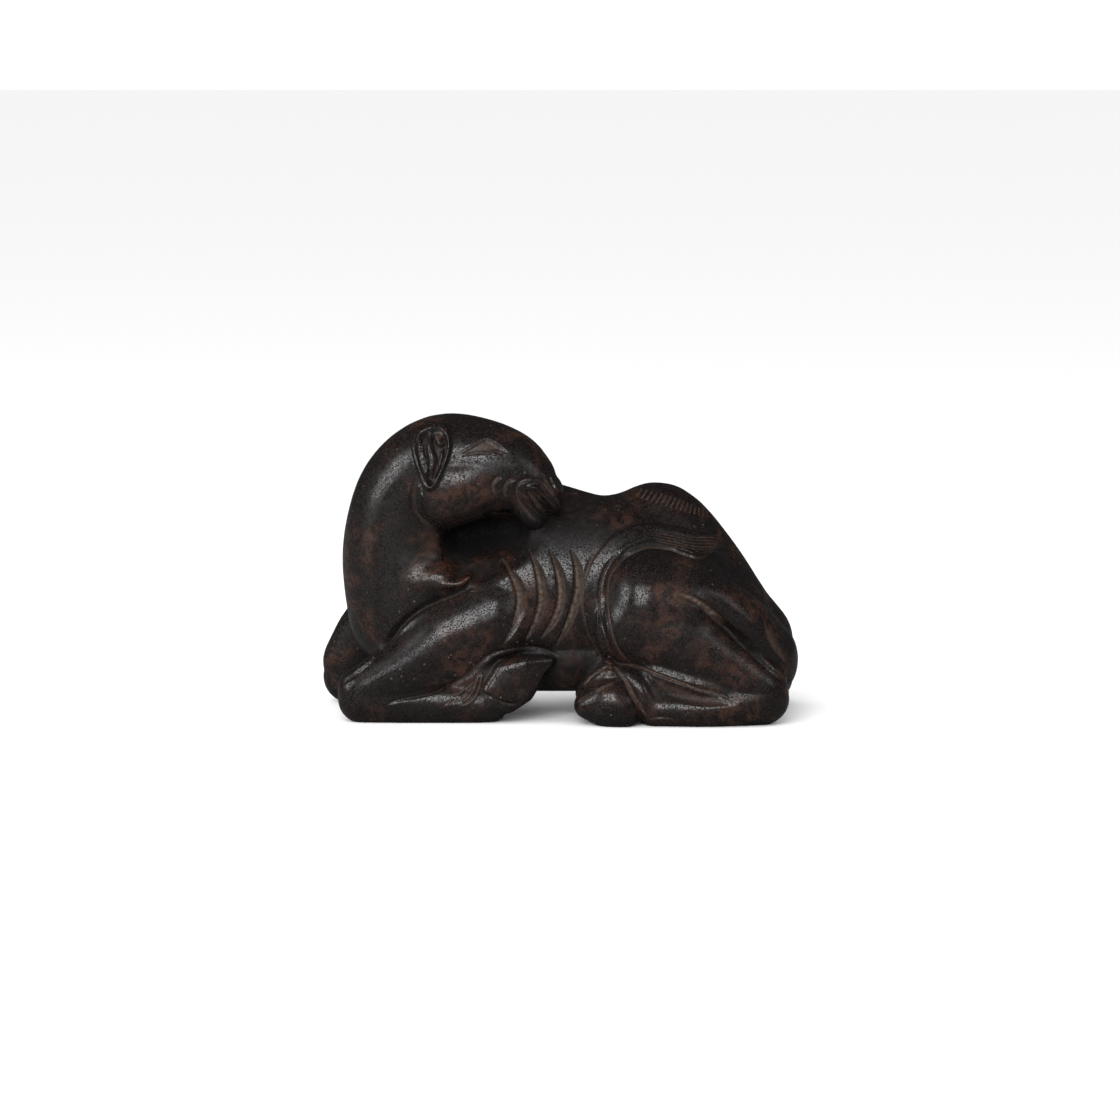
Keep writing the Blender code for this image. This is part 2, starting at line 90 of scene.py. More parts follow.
# How far a mark reaches through the stone, from how far off it is aimed, and how far
# the surface may turn away from it.
LINE_REACH = 2.5
PATCH_REACH = 3.0
AIM_DISTANCE = 90
LEAST_FACING = 0.1

# Hollows are measured against a surface smoothed this many times, on this scale in
# millimetres: cuts first, then the wide hollows, which get painted shade and a rougher polish.
CUT_SMOOTHING = 12
CUT_SCALE = 0.5
SHELTER_SMOOTHING = 160
SHELTER_SCALE = 1.6

# Every mass is a smooth run of ellipsoids: centre x, y, z and radii x, y, z.
SOFT_MASSES = {
    "trunk": [
        (-26, 1, 22, 13, 15, 16.5),
        (-12, 1, 24, 14, 16, 19),
        (4, 1.5, 25, 14, 16.6, 20),
        (20, 2, 24.5, 14, 16.8, 20),
        (33, 2, 18.6, 12, 16, 13.4),
    ],
    "back": [
        (-8, 6.5, 38, 8.5, 8.5, 11.8),
        (2, 5, 36, 8, 9, 10.8),
        (9, 3.7, 35, 8.2, 9.5, 10.2),
        (15, 3, 35.3, 8.8, 10, 11),
        (21.5, 2.5, 36.1, 10, 10.5, 12),
        (27.5, 2.8, 28, 11.6, 12.5, 12.4),
        (34.5, 3, 17.7, 11.2, 14, 12.2),
    ],
    "rump": [(34.5, 3, 17.7, 11.2, 14, 12.2), (42, 3.5, 14.2, 7.4, 10, 9)],
    "neck_and_head": [
        (-29, 0, 20.5, 15.5, 14.5, 13),
        (-31.8, 0, 30, 13.9, 13.8, 12),
        (-33, -0.5, 38, 12.2, 12.8, 11),
        (-30.6, -1.8, 46.7, 11.6, 12.2, 11.3),
        (-24.6, -4.5, 52, 10.8, 11.5, 11.2),
        (-16.5, -6.8, 52.6, 7.6, 9.6, 10.1),
        (-10, -7.8, 51.4, 7, 8.3, 8.7),
        (-6.1, -8.3, 48.7, 5.7, 7.4, 7.6),
    ],
    "neck_to_hump": [(-27, 4, 40, 8, 8, 8), (-14, 6.5, 41, 8, 8, 9)],
    "neck_fold": [
        (-31, -2, 28, 10, 12, 8),
        (-25.5, -6.5, 29.2, 6.4, 8.8, 5),
        (-20.4, -9.6, 29.8, 1.8, 6, 1.8),
    ],
    "near_haunch": [(17.4, -8, 23.6, 9.8, 15.4, 13.4), (26, -8, 22.4, 11, 14.4, 13.4)],
    "near_shank": [
        (16, -13, 20.5, 8.6, 10, 9.8),
        (24, -14.6, 18, 8, 8.8, 9),
        (33, -15.8, 12.8, 6.6, 7.4, 7.2),
        (42.3, -15.8, 7.1, 5.4, 6.6, 5.9),
    ],
    "near_forearm": [
        (-41.2, -13, 6.2, 5.2, 5.2, 5.2),
        (-31, -12, 11.8, 6.6, 7, 6.2),
        (-22, -10.5, 17.4, 9, 8.6, 8.5),
        (-13.8, -8, 20.6, 9.4, 10, 10.4),
    ],
    "far_haunch": [(17.6, 9, 23, 10, 13.5, 13), (26, 8.5, 21.5, 11.5, 13, 13)],
    "far_shank": [
        (17, 13, 19, 8, 8.5, 9),
        (30, 13.5, 13.5, 7, 7.5, 8),
        (43.6, 11, 9.7, 6.4, 6.4, 8.2),
    ],
    "far_forearm": [
        (-30, 8, 23, 9, 8, 9),
        (-39.5, 12, 15.5, 7.4, 6, 8),
        (-45, 14, 8.6, 5.8, 5.2, 6.6),
    ],
}

FIRM_MASSES = {
    "jaw": [
        (-24.6, -9.5, 48, 5.4, 8.4, 8.8),
        (-20, -9.6, 49, 6, 8.2, 8),
        (-15, -9.3, 50.2, 5, 7.6, 7.2),
        (-9.5, -9, 50, 4, 6.6, 5.8),
    ],
    "chin": [(-8.6, -8.5, 47.5, 3.4, 6.4, 4.4), (-5.4, -8.8, 43.6, 3.2, 5.8, 3.9)],
    "nose": [(-6.6, -8.6, 50.2, 4.4, 6.8, 4.8), (-2.4, -8.9, 47.7, 3.1, 5.8, 3.5)],
    "upper_lip": [(-6.4, -8.6, 48.6, 3.8, 6.6, 3.4), (-1.5, -8.9, 45.8, 2.2, 5, 2.3)],
    "fold_tip": [
        (-24, -8.6, 28.8, 4, 7.2, 2.6),
        (-21, -9.6, 28.9, 1.8, 6.4, 1.3),
        (-18.7, -10.4, 30.3, 0.7, 5, 0.7),
    ],
    "near_cannon": [
        (-41, -13, 4.6, 5.2, 5.2, 5.2),
        (-30, -12.6, 3.8, 4.5, 5.2, 5.2),
        (-19, -13, 3.6, 4, 5, 4.5),
        (-14.6, -13.2, 3.7, 4, 5, 4),
    ],
    "near_forearm_low": [
        (-38, -12.8, 6.8, 4.6, 5.4, 4.6),
        (-30, -12.3, 10.2, 5.5, 6.2, 5.6),
        (-23, -11.9, 12.8, 6, 6.1, 6.4),
        (-17.5, -11.4, 15.4, 6, 6.3, 6.4),
    ],
    "near_fore_fill": [(-37, -9, 7, 4, 6, 5), (-16, -9.5, 9.5, 6, 7, 7)],
    "near_belly": [
        (-12, -5.5, 13, 6, 7.5, 7.9),
        (-2, -5.5, 13, 6, 7.5, 7.9),
        (8, -5.5, 13, 6, 7.5, 7.9),
    ],
    "far_cannon": [
        (-44.8, 14, 5.4, 5.8, 5, 5.8),
        (-32, 15, 3.4, 5, 5, 4),
        (-19, 15.2, 3.4, 4, 4.6, 4),
        (-12, 14.6, 3.4, 4.2, 4.4, 4),
    ],
    "far_fore_fill": [(-37, 10, 8, 4, 6, 6), (-16, 10, 9, 6, 7, 7)],
    "near_metatarsus": [
        (41.6, -16.6, 5.2, 6, 6, 5.6),
        (31, -18.6, 3.4, 5, 5, 4),
        (20, -18, 3.4, 4.2, 5, 4),
    ],
    "near_hind_fill": [(18, -13, 9, 6, 7, 6), (38, -12.5, 7, 4, 7, 5)],
    "near_shank_low": [
        (20, -15.6, 10, 4.5, 6, 5),
        (29, -16.4, 8, 6, 6, 4.6),
        (39, -16, 6.4, 4, 6, 4.4),
    ],
    "near_thigh_fill": [
        (27, -12.8, 24, 4, 7, 4.6),
        (32, -12.6, 20.4, 4, 6.8, 4.6),
        (39, -11, 14.8, 4, 6.8, 4.6),
    ],
    "near_thigh_ridge": [
        (25, -13.8, 28.6, 4.6, 6.8, 4.2),
        (32.5, -13.2, 25.2, 5.2, 7, 5.2),
        (39.6, -11, 18.6, 5.2, 8, 6.6),
        (45, -6, 12, 4.9, 9, 7.2),
    ],
    "near_toe": [
        (5.5, -17.8, 4, 2.6, 4, 2.8),
        (10, -18.8, 4.6, 4.6, 5.1, 5.2),
        (13.2, -19.2, 4, 3.6, 4.8, 4.8),
    ],
    "near_heel": [(5.4, -15, 6, 2.2, 4, 2.4), (10.4, -15.4, 10.6, 3, 4.4, 2.4)],
    "near_second_toe": [
        (13.8, -16.6, 10.2, 2.2, 4.6, 2.2),
        (16.8, -18, 7, 2.6, 4.8, 3.8),
        (19.2, -18.3, 3.2, 2.4, 4.7, 3.2),
    ],
    "near_toe_fill": [(12.6, -15.4, 7.6, 4, 5.6, 4.4), (19, -16.2, 6, 4, 5.6, 5)],
    "far_metatarsus": [
        (43.6, 12, 5.8, 6.2, 6.2, 6.1),
        (30, 15, 3.4, 5, 5.6, 4),
        (19, 16.5, 3.4, 4, 4.8, 4),
        (10, 16.5, 4, 5, 4.8, 4.6),
    ],
    "far_hind_fill": [(18, 12, 9, 6, 7, 6), (38, 11, 8, 4, 7, 6)],
}

# The turned-up front hoof is one hull round its corner beads.
NEAR_HOOF = [
    (-12, -14.4, 11.3, 1.4, 3.4, 1.4),
    (-14.6, -14.6, 7, 1.6, 3.8, 1.6),
    (-7, -14.4, 12.5, 1.4, 3.2, 1.4),
    (-1.5, -13.4, 12.8, 0.6, 1.6, 0.6),
    (-6.9, -14.2, 5.6, 1.4, 3.2, 1.4),
    (-10.6, -14.2, 3.4, 1.6, 3.8, 1.6),
    (-14.5, -14.6, 3.4, 1.8, 4, 1.8),
]

# What is cut out: the arch under the belly, the pocket under the jaw and the shallow
# scoop in the flank below it.
ARCH = [(-2, -30, -4.5, 4.6, 2, 9.4), (-2, 30, -4.5, 4.6, 2, 9.4)]
POCKET = [
    (-20.4, -13.5, 37.2, 4.6, 14.5, 5.2),
    (-16, -13.5, 38.2, 4.8, 15, 5.4),
    (-10.5, -15.5, 39.2, 4.6, 15, 5.2),
]
SCOOP = [
    (-19.5, -24, 34, 5, 17, 6.5),
    (-14, -24, 36, 6, 17.5, 7.5),
    (-6, -26, 39.5, 7, 17, 6.5),
    (2, -29, 42, 5, 17, 5),
]

# Studio, in metres: the floor's half width and its gap under the feet, where the lights
# and the camera aim from the middle of the foot, the softboxes, and the camera.
FLOOR_HALF = 6
FLOOR_GAP = 0.05 * MM
AIM_FROM_FOOT = (0.4 * MM, 0.8 * MM, 32.05 * MM)
SOFTBOXES = (
    ("key_softbox", (-0.14, -0.62, 0.4), (0.5, 0.42)),
    ("side_softbox", (-0.7, -0.22, 0.32), (0.35, 0.4)),
    ("fill_softbox", (0.5, -0.45, 0.4), (0.3, 0.3)),
)
CAMERA_DISTANCE = 0.98
CAMERA_ELEVATION = np.radians(7)
CAMERA_SENSOR = 36
CAMERA_LENS = 150
CAMERA_CLIP = 0.01

# The white world's strength, and how bright the world and the floor are in the polish.
WORLD_STRENGTH = 1.08
WORLD_IN_POLISH = 0.05
FLOOR_IN_POLISH = 0.12

# Spacing of the nodes on the sheet.
COLUMN_STEP = 220
ROW_STEP = 280

# The flank between the muzzle and the ribs, darkened with painted shade where the head
# shades it and given a rougher polish: its middle and reach, along and up, how strong that is and how
# quickly it fades.
UNDER_HEAD_CENTRE = (-1, 39.5)
UNDER_HEAD_REACH = (17, 9)
UNDER_HEAD_SHADE_AND_DULLNESS = 0.6
UNDER_HEAD_FADE = 1.6

# Where fine marks come: lowest and highest corners.
FINE_REGIONS = [
    ((-32, -40, 39), (3, -8, 63)),
    ((14, -40, 38), (34, 40, 49)),
    ((18, -40, 33), (36, -8, 41)),
    ((-27, -40, 0), (1, -8, 17)),
    ((1, -40, 0), (26, -8, 16)),
    ((-14, -40, 14), (14, -8, 38)),
]


# Sections across a mark, from -1 at its left edge to 1 at its right edge.
def ease(share):
    """0 to 1 with a soft start and end."""
    share = np.clip(share, 0, 1)
    return share * share * (3 - 2 * share)


def round_groove(across):
    return -((1 - across * across) ** 1.5)


def knife_cut(across):
    return -((1 - np.abs(across)) ** 1.2)


def flat_groove(across):
    return -ease((1 - np.abs(across)) / 0.4)


def raised_band(across):
    return ease((1 - np.abs(across)) / 0.45)


def raised_cord(across):
    return np.sqrt(np.clip(1 - across * across, 0, 1))


def wall_on_right(across):
    """A cut that slopes down gently from its left edge to a steep wall on its right."""
    floor = ease((across + 1) / 1.45) ** 1.3
    wall = ease((1 - across) / 0.55)
    return -np.where(across < 0.45, floor, wall)


def wall_on_left(across):
    return wall_on_right(-across)


# Masses.
def curve_through(points, steps):
    """Points of a smooth curve through the given points, with even steps in each span."""
    points = np.array(points, dtype=float)
    ends = np.vstack([2 * points[0] - points[1], points, 2 * points[-1] - points[-2]])
    share = np.arange(steps)[:, None] / steps
    spans = []
    for a, b, c, d in zip(ends, ends[1:], ends[2:], ends[3:]):
        slope = c - a
        bend = 2 * a - 5 * b + 4 * c - d
        twist = 3 * b - a - 3 * c + d
        spans.append(b + 0.5 * share * (slope + share * (bend + share * twist)))
    spans.append(points[-1:])
    return np.vstack(spans)


def arc_through(start, middle, end, shares):
    """Points on the parabola through three points, at the given shares of its length."""
    start, middle, end = (np.array(point, dtype=float) for point in (start, middle, end))
    shares = np.array(shares)[:, None]
    of_start = (1 - shares) * (1 - 2 * shares)
    of_middle = 4 * shares * (1 - shares)
    of_end = shares * (2 * shares - 1)
    return of_start * start + of_middle * middle + of_end * end


def add_hull(mesh, beads):
    """Adds to the mesh the convex hull round the given ellipsoids."""
    lump = bmesh.new()
    for x, y, z, radius_x, radius_y, radius_z in beads:
        place = Matrix.Translation(Vector((x, y, z)) * MM)
        size = Matrix.Diagonal((radius_x * MM, radius_y * MM, radius_z * MM, 1))
        bmesh.ops.create_icosphere(lump, subdivisions=4, radius=1, matrix=place @ size)
    result = bmesh.ops.convex_hull(lump, input=lump.verts[:])
    spare = set(result["geom_interior"] + result["geom_unused"])
    inside = [part for part in spare if isinstance(part, bmesh.types.BMVert)]
    bmesh.ops.delete(lump, geom=inside, context="VERTS")
    bmesh.ops.recalc_face_normals(lump, faces=lump.faces[:])
    lump_mesh = bpy.data.meshes.new("lump")
    lump.to_mesh(lump_mesh)
    lump.free()
    mesh.from_mesh(lump_mesh)
    bpy.data.meshes.remove(lump_mesh)


def link_mesh(name, mesh):
    """A new object in the scene that takes over the mesh."""
    data = bpy.data.meshes.new(name)
    mesh.to_mesh(data)
    mesh.free()
    made = bpy.data.objects.new(name, data)
    bpy.context.scene.collection.objects.link(made)
    return made


def make_object(name, runs, hulls=()):
    """An object built from runs of beads, hulled two by two, and single hulls."""
    mesh = bmesh.new()
    for beads in runs:
        run = curve_through(beads, BEADS_PER_SPAN)
        for pair in zip(run, run[1:]):
            add_hull(mesh, pair)
    for beads in hulls:
        add_hull(mesh, beads)
    return link_mesh(name, mesh)


def add_voxel_remesh(target, voxel):
    modifier = target.modifiers.new("one_skin", "REMESH")
    modifier.mode = "VOXEL"
    modifier.voxel_size = voxel * MM


def add_smooth(target, repeats):
    modifier = target.modifiers.new("polish", "SMOOTH")
    modifier.factor = 0.5
    modifier.iterations = repeats


def apply_modifiers(target):
    """Replaces the object's mesh with its evaluated one."""
    depsgraph = bpy.context.evaluated_depsgraph_get()
    finished = bpy.data.meshes.new_from_object(target.evaluated_get(depsgraph))
    rough = target.data
    target.modifiers.clear()
    target.data = finished
    bpy.data.meshes.remove(rough)


def cut_away(target, cutter):
    modifier = target.modifiers.new("cut_" + cutter.name, "BOOLEAN")
    modifier.operation = "DIFFERENCE"
    modifier.object = cutter
    apply_modifiers(target)
    bpy.data.objects.remove(cutter)


def model_body():
    """The whole animal as one closed skin, before any mark is cut."""
    body = make_object("jade_camel", SOFT_MASSES.values())
    add_voxel_remesh(body, CLAY_VOXEL)
    apply_modifiers(body)
    for name, beads in (("belly_arch", ARCH), ("jaw_pocket", POCKET), ("flank_scoop", SCOOP)):
        cutter = make_object(name, [beads])
        add_voxel_remesh(cutter, CLAY_VOXEL)
        apply_modifiers(cutter)
        cut_away(body, cutter)
    add_voxel_remesh(body, CLAY_VOXEL)
    add_smooth(body, CLAY_RUBS)
    apply_modifiers(body)
    limbs = make_object("limbs", FIRM_MASSES.values(), [NEAR_HOOF])
    mesh = bmesh.new()
    mesh.from_mesh(body.data)
    mesh.from_mesh(limbs.data)
    mesh.to_mesh(body.data)
    mesh.free()
    bpy.data.objects.remove(limbs)
    add_voxel_remesh(body, FINE_VOXEL)
    add_smooth(body, SKIN_RUBS)
    apply_modifiers(body)
    refine(body)
    return body


def refine(body):
    """Halves the facets where fine marks come."""
    mesh = bmesh.new()
    mesh.from_mesh(body.data)
    centres = np.array([face.calc_center_median() for face in mesh.faces]) / MM
    wanted = np.zeros(len(centres), dtype=bool)
    for low, high in FINE_REGIONS:
        wanted |= np.all((centres > low) & (centres < high), axis=1)
    edges = {edge for face, chosen in zip(mesh.faces, wanted) if chosen for edge in face.edges}
    bmesh.ops.subdivide_edges(mesh, edges=list(edges), cuts=1, use_grid_fill=True)
    mesh.to_mesh(body.data)
    mesh.free()


def read_vertices(body, name):
    """Each vertex's place ("co") or normal ("normal"), as rows of three."""
    values = np.empty(len(body.data.vertices) * 3)
    body.data.vertices.foreach_get(name, values)
    return values.reshape(-1, 3)


def read_edges(body):
    """The two vertices of each edge."""
    ends = np.empty(len(body.data.edges) * 2, dtype=np.int64)
    body.data.edges.foreach_get("vertices", ends)
    return ends.reshape(-1, 2)


class Carving:
    """The stone under the tool: vertex places and normals in millimetres, and how much
    pale residue lies at each vertex."""

    def __init__(self, body):
        self.body = body
        self.residue = np.zeros(len(body.data.vertices))
        self.look_again()

    def look_again(self):
        """Takes places, normals and the search tree from the mesh as it is now."""
        self.places = read_vertices(self.body, "co") / MM
        self.normals = read_vertices(self.body, "normal")
        mesh = bmesh.new()
        mesh.from_mesh(self.body.data)
        self.tree = BVHTree.FromBMesh(mesh)
        mesh.free()

    def put_back(self):
        """Writes the moved vertices to the mesh and looks again."""
        self.body.data.vertices.foreach_set("co", (self.places * MM).ravel())
        self.body.data.update()
        self.look_again()

    def touch(self, u, v, view):
        """The surface point and normal that the view sees at drawing place u, v."""
        axis, sign, drawing = view
        start = [0.0, 0.0, 0.0]
        start[axis] = sign * AIM_DISTANCE
        start[drawing[0]] = u
        start[drawing[1]] = v
        inward = [0.0, 0.0, 0.0]
        inward[axis] = -sign
        place, normal, _, _ = self.tree.ray_cast(Vector(start) * MM, Vector(inward))
        return place, normal

    def lay(self, points, view):
        """Drawn points laid on the surface, evenly spaced, with normals and width shares."""
        dense = curve_through(points, LINE_STEPS)
        lengths = np.linalg.norm(np.diff(dense[:, :2], axis=0), axis=1)
        travelled = np.concatenate([[0], np.cumsum(lengths)])
        stations = np.linspace(0, travelled[-1], max(6, int(travelled[-1] / PATH_SPACING)))
        path = [np.interp(stations, travelled, column) for column in dense.T]
        places = []
        normals = []
        shares = []
        for u, v, share in zip(*path):
            place, normal = self.touch(u, v, view)
            if place is not None:
                places.append(np.array(place) / MM)
                normals.append(np.array(normal))
                shares.append(share)
        path = running_mean(np.array(places), 2)
        outward = unit(running_mean(np.array(normals), 6))
        return path, outward, np.array(shares)

    def line(self, points, width, depth, section, residue=0.0, view=NEAR, open_ends=False, fade=0.22):
        """Moves the surface along a drawn line by depth times the section across it."""
        points = [point if len(point) == 3 else (*point, 1) for point in points]
        path, outward, shares = self.lay(points, view)
        across = unit(np.cross(np.gradient(path, axis=0), outward))
        low = path.min(axis=0) - width
        high = path.max(axis=0) + width
        picked = np.flatnonzero(np.all((self.places > low) & (self.places < high), axis=1))
        station = nearest_station(self.places[picked], path)
        offset = self.places[picked] - path[station]
        half_width = np.maximum(shares[station] * width / 2, THINNEST_HALF)
        side_step = (offset * across[station]).sum(axis=1)
        past_end = (station == 0) | (station == len(path) - 1)
        side_step = np.where(past_end, np.sign(side_step) * np.linalg.norm(offset, axis=1), side_step)
        share_across = side_step / half_width
        lift = np.abs((offset * outward[station]).sum(axis=1))
        facing = (self.normals[picked] * outward[station]).sum(axis=1) > LEAST_FACING
        reached = facing & (lift < LINE_REACH + half_width) & (np.abs(share_across) < 1)
        progress = station / (len(path) - 1)
        strength = 1 if open_ends else np.clip(np.minimum(progress, 1 - progress) / fade, 0, 1) ** 0.7
        height = section(np.clip(share_across, -1, 1)) * strength
        height = np.where(reached, height, 0)
        self.places[picked] += outward[station] * (depth * height)[:, None]
        self.residue[picked] = np.maximum(self.residue[picked], residue * np.abs(height))

    def patch(self, outline, rise, edge, residue=0.0, view=NEAR):
        """Lifts the surface inside a closed drawn outline, or presses it if rise is below 0."""
        axis, sign, drawing = view
        ring = curve_through([*outline, outline[0]], OUTLINE_STEPS)
        depths = [self.touch(u, v, view)[0] for u, v in ring]
        depths = [depth[axis] / MM for depth in depths if depth is not None]
        level = self.places[:, axis]
        near_depth = (level > min(depths) - PATCH_REACH) & (level < max(depths) + PATCH_REACH)
        picked = np.flatnonzero(near_depth & (self.normals[:, axis] * sign > LEAST_FACING))
        spot = self.places[picked][:, drawing]
        boxed = np.all((spot > ring.min(axis=0)) & (spot < ring.max(axis=0)), axis=1)
        picked = picked[boxed]
        inside, distance = measure_outline(spot[boxed], ring)
        share = np.where(inside, ease(distance / edge), 0)
        self.places[picked] += self.normals[picked] * (rise * share)[:, None]
        self.residue[picked] = np.maximum(self.residue[picked], residue * share)

    def soften(self, outline, view):
        """Rubs the surface smooth around a drawn outline."""
        axis, sign, drawing = view
        ring = np.array(outline)
        spot = self.places[:, drawing]
        boxed = np.all((spot > ring.min(axis=0) - 0.5) & (spot < ring.max(axis=0) + 0.5), axis=1)
        boxed &= self.places[:, axis] * sign > 0
        edges = read_edges(self.body)
        edges = edges[boxed[edges[:, 0]] & boxed[edges[:, 1]]]
        total = np.zeros_like(self.places)
        np.add.at(total, edges[:, 0], self.places[edges[:, 1]])
        np.add.at(total, edges[:, 1], self.places[edges[:, 0]])
        count = np.bincount(edges.ravel(), minlength=len(self.places))
        inner = count > 3
        self.places[inner] = (self.places[inner] + total[inner] / count[inner, None]) / 2


def unit(vectors):
    return vectors / np.maximum(np.linalg.norm(vectors, axis=1, keepdims=True), 1e-9)


def running_mean(vectors, reach):
    """Vectors averaged with as many neighbours on each side as reach says."""
    padded = np.vstack([vectors[:1]] * reach + [vectors] + [vectors[-1:]] * reach)
    window = np.ones(2 * reach + 1) / (2 * reach + 1)
    return np.stack([np.convolve(column, window, "valid") for column in padded.T], axis=1)


def nearest_station(spots, path):
    """For each spot, the number of the path point nearest to it."""
    squares = (path**2).sum(axis=1)[None] - 2 * spots @ path.T
    return squares.argmin(axis=1)


def measure_outline(spots, ring):
    """Whether each spot is inside a closed ring, and how far it is from it."""
    crossings = np.zeros(len(spots), dtype=int)
    distance = np.full(len(spots), np.inf)
    for start, end in zip(ring, ring[1:]):
        step = end - start
        share = np.clip((spots - start) @ step / (step @ step), 0, 1)
        distance = np.minimum(distance, np.linalg.norm(spots - start - share[:, None] * step, axis=1))
        spans = (start[1] > spots[:, 1]) != (end[1] > spots[:, 1])
        slope = step[0] / step[1] if step[1] else 0
        crossings += spans & (spots[:, 0] < start[0] + (spots[:, 1] - start[1]) * slope)
    return crossings % 2 == 1, distance


# Marks. Drawing places are x, z in millimetres. A third number is a share of the width.
TAIL = [
    (10.6, 12.2, 0.3), (9.0, 15.7, 0.7), (7.7, 19.6, 0.95), (7.0, 25.5, 1), (7.9, 31, 1),
    (9.9, 34.5, 1), (13.0, 37.2, 1), (18.4, 38.9, 1), (24, 38.0, 1.05), (27.9, 36.9, 1.0),
    (31.3, 36.4, 0.8), (34.2, 36.5, 0.15),
]
TAIL_GROOVE = [
    (10.8, 14.2), (9.3, 18.6), (8.3, 22.1), (8.0, 26), (8.5, 30), (10, 33.2), (12.8, 35.8),
]
TAIL_INNER = [
    (17.9, 11.7), (15.1, 12.9), (12.9, 14.9), (11.2, 17.8), (10.1, 22.1), (9.7, 26), (10.2, 30),
    (11.9, 33), (14.4, 35), (18.2, 36.3), (22.5, 35.9), (25.5, 35), (28.4, 34.2), (31.4, 34.4),
    (34, 36.2),
]
TAIL_OUTER = [
    (10.4, 11.8), (8.2, 14.2), (5.9, 18), (4.8, 22), (4.6, 26), (5.4, 31), (7, 34.6), (10.4, 38.2),
]
TUFT_UPPER = [(19.4, 39.6), (23.5, 39), (27.4, 38), (30.4, 37.7), (32.6, 37.4), (34.2, 36.5)]
TUFT_LOWER = [(19.4, 37.1), (23.5, 36.2), (25.9, 35.6), (28.4, 34.9), (31.4, 35), (34.2, 36.5)]
TUFT_STROKES = 6
TUFT_STEPS = 6

# The hair of the rear hump: the arcs of the strokes' roots and tips.
HUMP_STROKES = 17
HUMP_ROOTS = ((15.8, 45.4), (23.9, 43.1), (32.3, 40.6))
HUMP_TIPS = ((17.4, 47.5), (25.2, 45.4), (31.3, 42.4))

EAR = [
    (-26.8, 62.1), (-29.4, 60.8), (-30.8, 57.8), (-30.3, 54.4), (-29.3, 51.4), (-28, 49),
    (-26.6, 48.1), (-25.2, 49.2), (-24, 51.6), (-22.7, 54.6), (-22, 57.8), (-22.7, 60.8),
    (-24.4, 62),
]
EAR_BOWL = [
    (-26.8, 61.3), (-28.9, 60.2), (-30, 57.8), (-29.6, 55), (-28.6, 52), (-27.3, 49.8),
    (-26.5, 49.3), (-25.6, 50.4), (-24.3, 53), (-23.2, 56), (-23, 59), (-24.4, 61),
]
# Folds, each with its width and rise.
EAR_FOLDS = [
    ([(-28.9, 58.9, 0.5), (-28.7, 56.2, 1), (-28.1, 53.6, 1), (-27.1, 50.8, 0.3)], 1.0, 1.0),
    ([(-26.8, 60, 0.4), (-26.7, 57, 0.9), (-26.1, 54, 1.1), (-26.5, 50.6, 0.3)], 1.7, 1.3),
    ([(-24, 57.2, 0.4), (-24.3, 55, 1), (-25, 52.6, 0.9), (-25.9, 50.8, 0.3)], 0.9, 1.0),
]
EAR_CURL = [(-26.3, 60.1), (-24.4, 60.3), (-23.2, 58.9), (-23.7, 57.3), (-24.9, 57), (-25.9, 58.3)]
EAR_PIT = [(-24.8, 59.3), (-23.9, 59.4), (-23.8, 58.4), (-24.6, 58.2)]
EAR_ROOT = [(-29.2, 49.9), (-28.6, 48), (-28.2, 46.4)]

# Ribs as arcs through three points, with the width shares along each.
RIBS = [
    ((-12, 33.6), (-7.9, 25), (-11.8, 16.2)),
    ((-6.4, 35.8), (-3.5, 26), (-7.2, 16.8)),
    ((-2.2, 36.1), (0.5, 26), (-4, 17.2)),
    ((2.3, 36), (3.9, 26.8), (-0.8, 15.5)),
]
RIB_WIDTHS = (0.25, 0.7, 1, 1, 1, 0.7, 0.3)

EYE_PANEL = [
    (-21.5, 55.5), (-18.2, 57.5), (-15.3, 58.8), (-12.7, 57.6), (-10.4, 55.8), (-13.4, 56.6),
    (-15, 56.1), (-17.3, 56.2),
]
EYE_UPPER = [(-21.9, 55.3), (-18.2, 57.6), (-15.3, 58.9), (-12.7, 57.7), (-10.1, 55.6)]
EYE_LOWER = [
    (-21.5, 55.4), (-19.6, 55.7), (-17.3, 56.1), (-15, 56), (-13.4, 56.5), (-12.3, 56.1),
    (-10.6, 55.6),
]
CHEEK_WRINKLES = [
    [(-12, 51.5), (-13.3, 50.8), (-13.8, 49.6), (-13.7, 48.5), (-13, 47.5)],
    [(-9.1, 51), (-10.7, 50.4), (-11.4, 49.2), (-11.4, 47.8), (-10.9, 46.8)],
]
UPPER_LIP = [
    (-7.2, 49.4), (-4.9, 49.8), (-3.1, 48.2), (-1, 46), (0.3, 44.2), (-0.6, 43.4), (-2.2, 44.9),
    (-4.5, 47.2),
]
LOWER_LIP = [
    (-8.2, 48.2), (-7.2, 47.6), (-5.2, 45.2), (-3.2, 43.1), (-1.7, 42), (-3.4, 42), (-5.3, 43.3),
    (-7.1, 45.2),
]
MOUTH = [(-7, 48.6, 0.5), (-5.6, 46.8, 1), (-4, 44.9, 1.2), (-2.5, 43.4, 1), (-1.1, 42.3, 0.5)]
LIP_LINES = [
    [
        (-4.5, 50.4), (-6.8, 50.7), (-8.5, 50), (-9, 48.3),
        (-8.5, 46.3), (-7.1, 44.2), (-5.5, 42.5), (-3.6, 41.4),
    ],
    [(-6, 50.7), (-4.4, 50.4), (-2.6, 49), (-0.8, 46.6), (0.3, 44.8)],
]
NOSTRIL = [(-2.8, 52.4), (-1.8, 50.5), (-1, 48.7), (-0.4, 47.2)]
NOSTRIL_RIM = [(-3.6, 52.3), (-2.6, 49.9), (-1.5, 48), (-0.4, 46.2)]
JAW_EDGE = [
    (-29.4, 51.5), (-30.2, 48.5), (-30.4, 46.2), (-29.9, 44), (-28.6, 42.1), (-26.6, 40.6),
    (-24.4, 39.5),
]

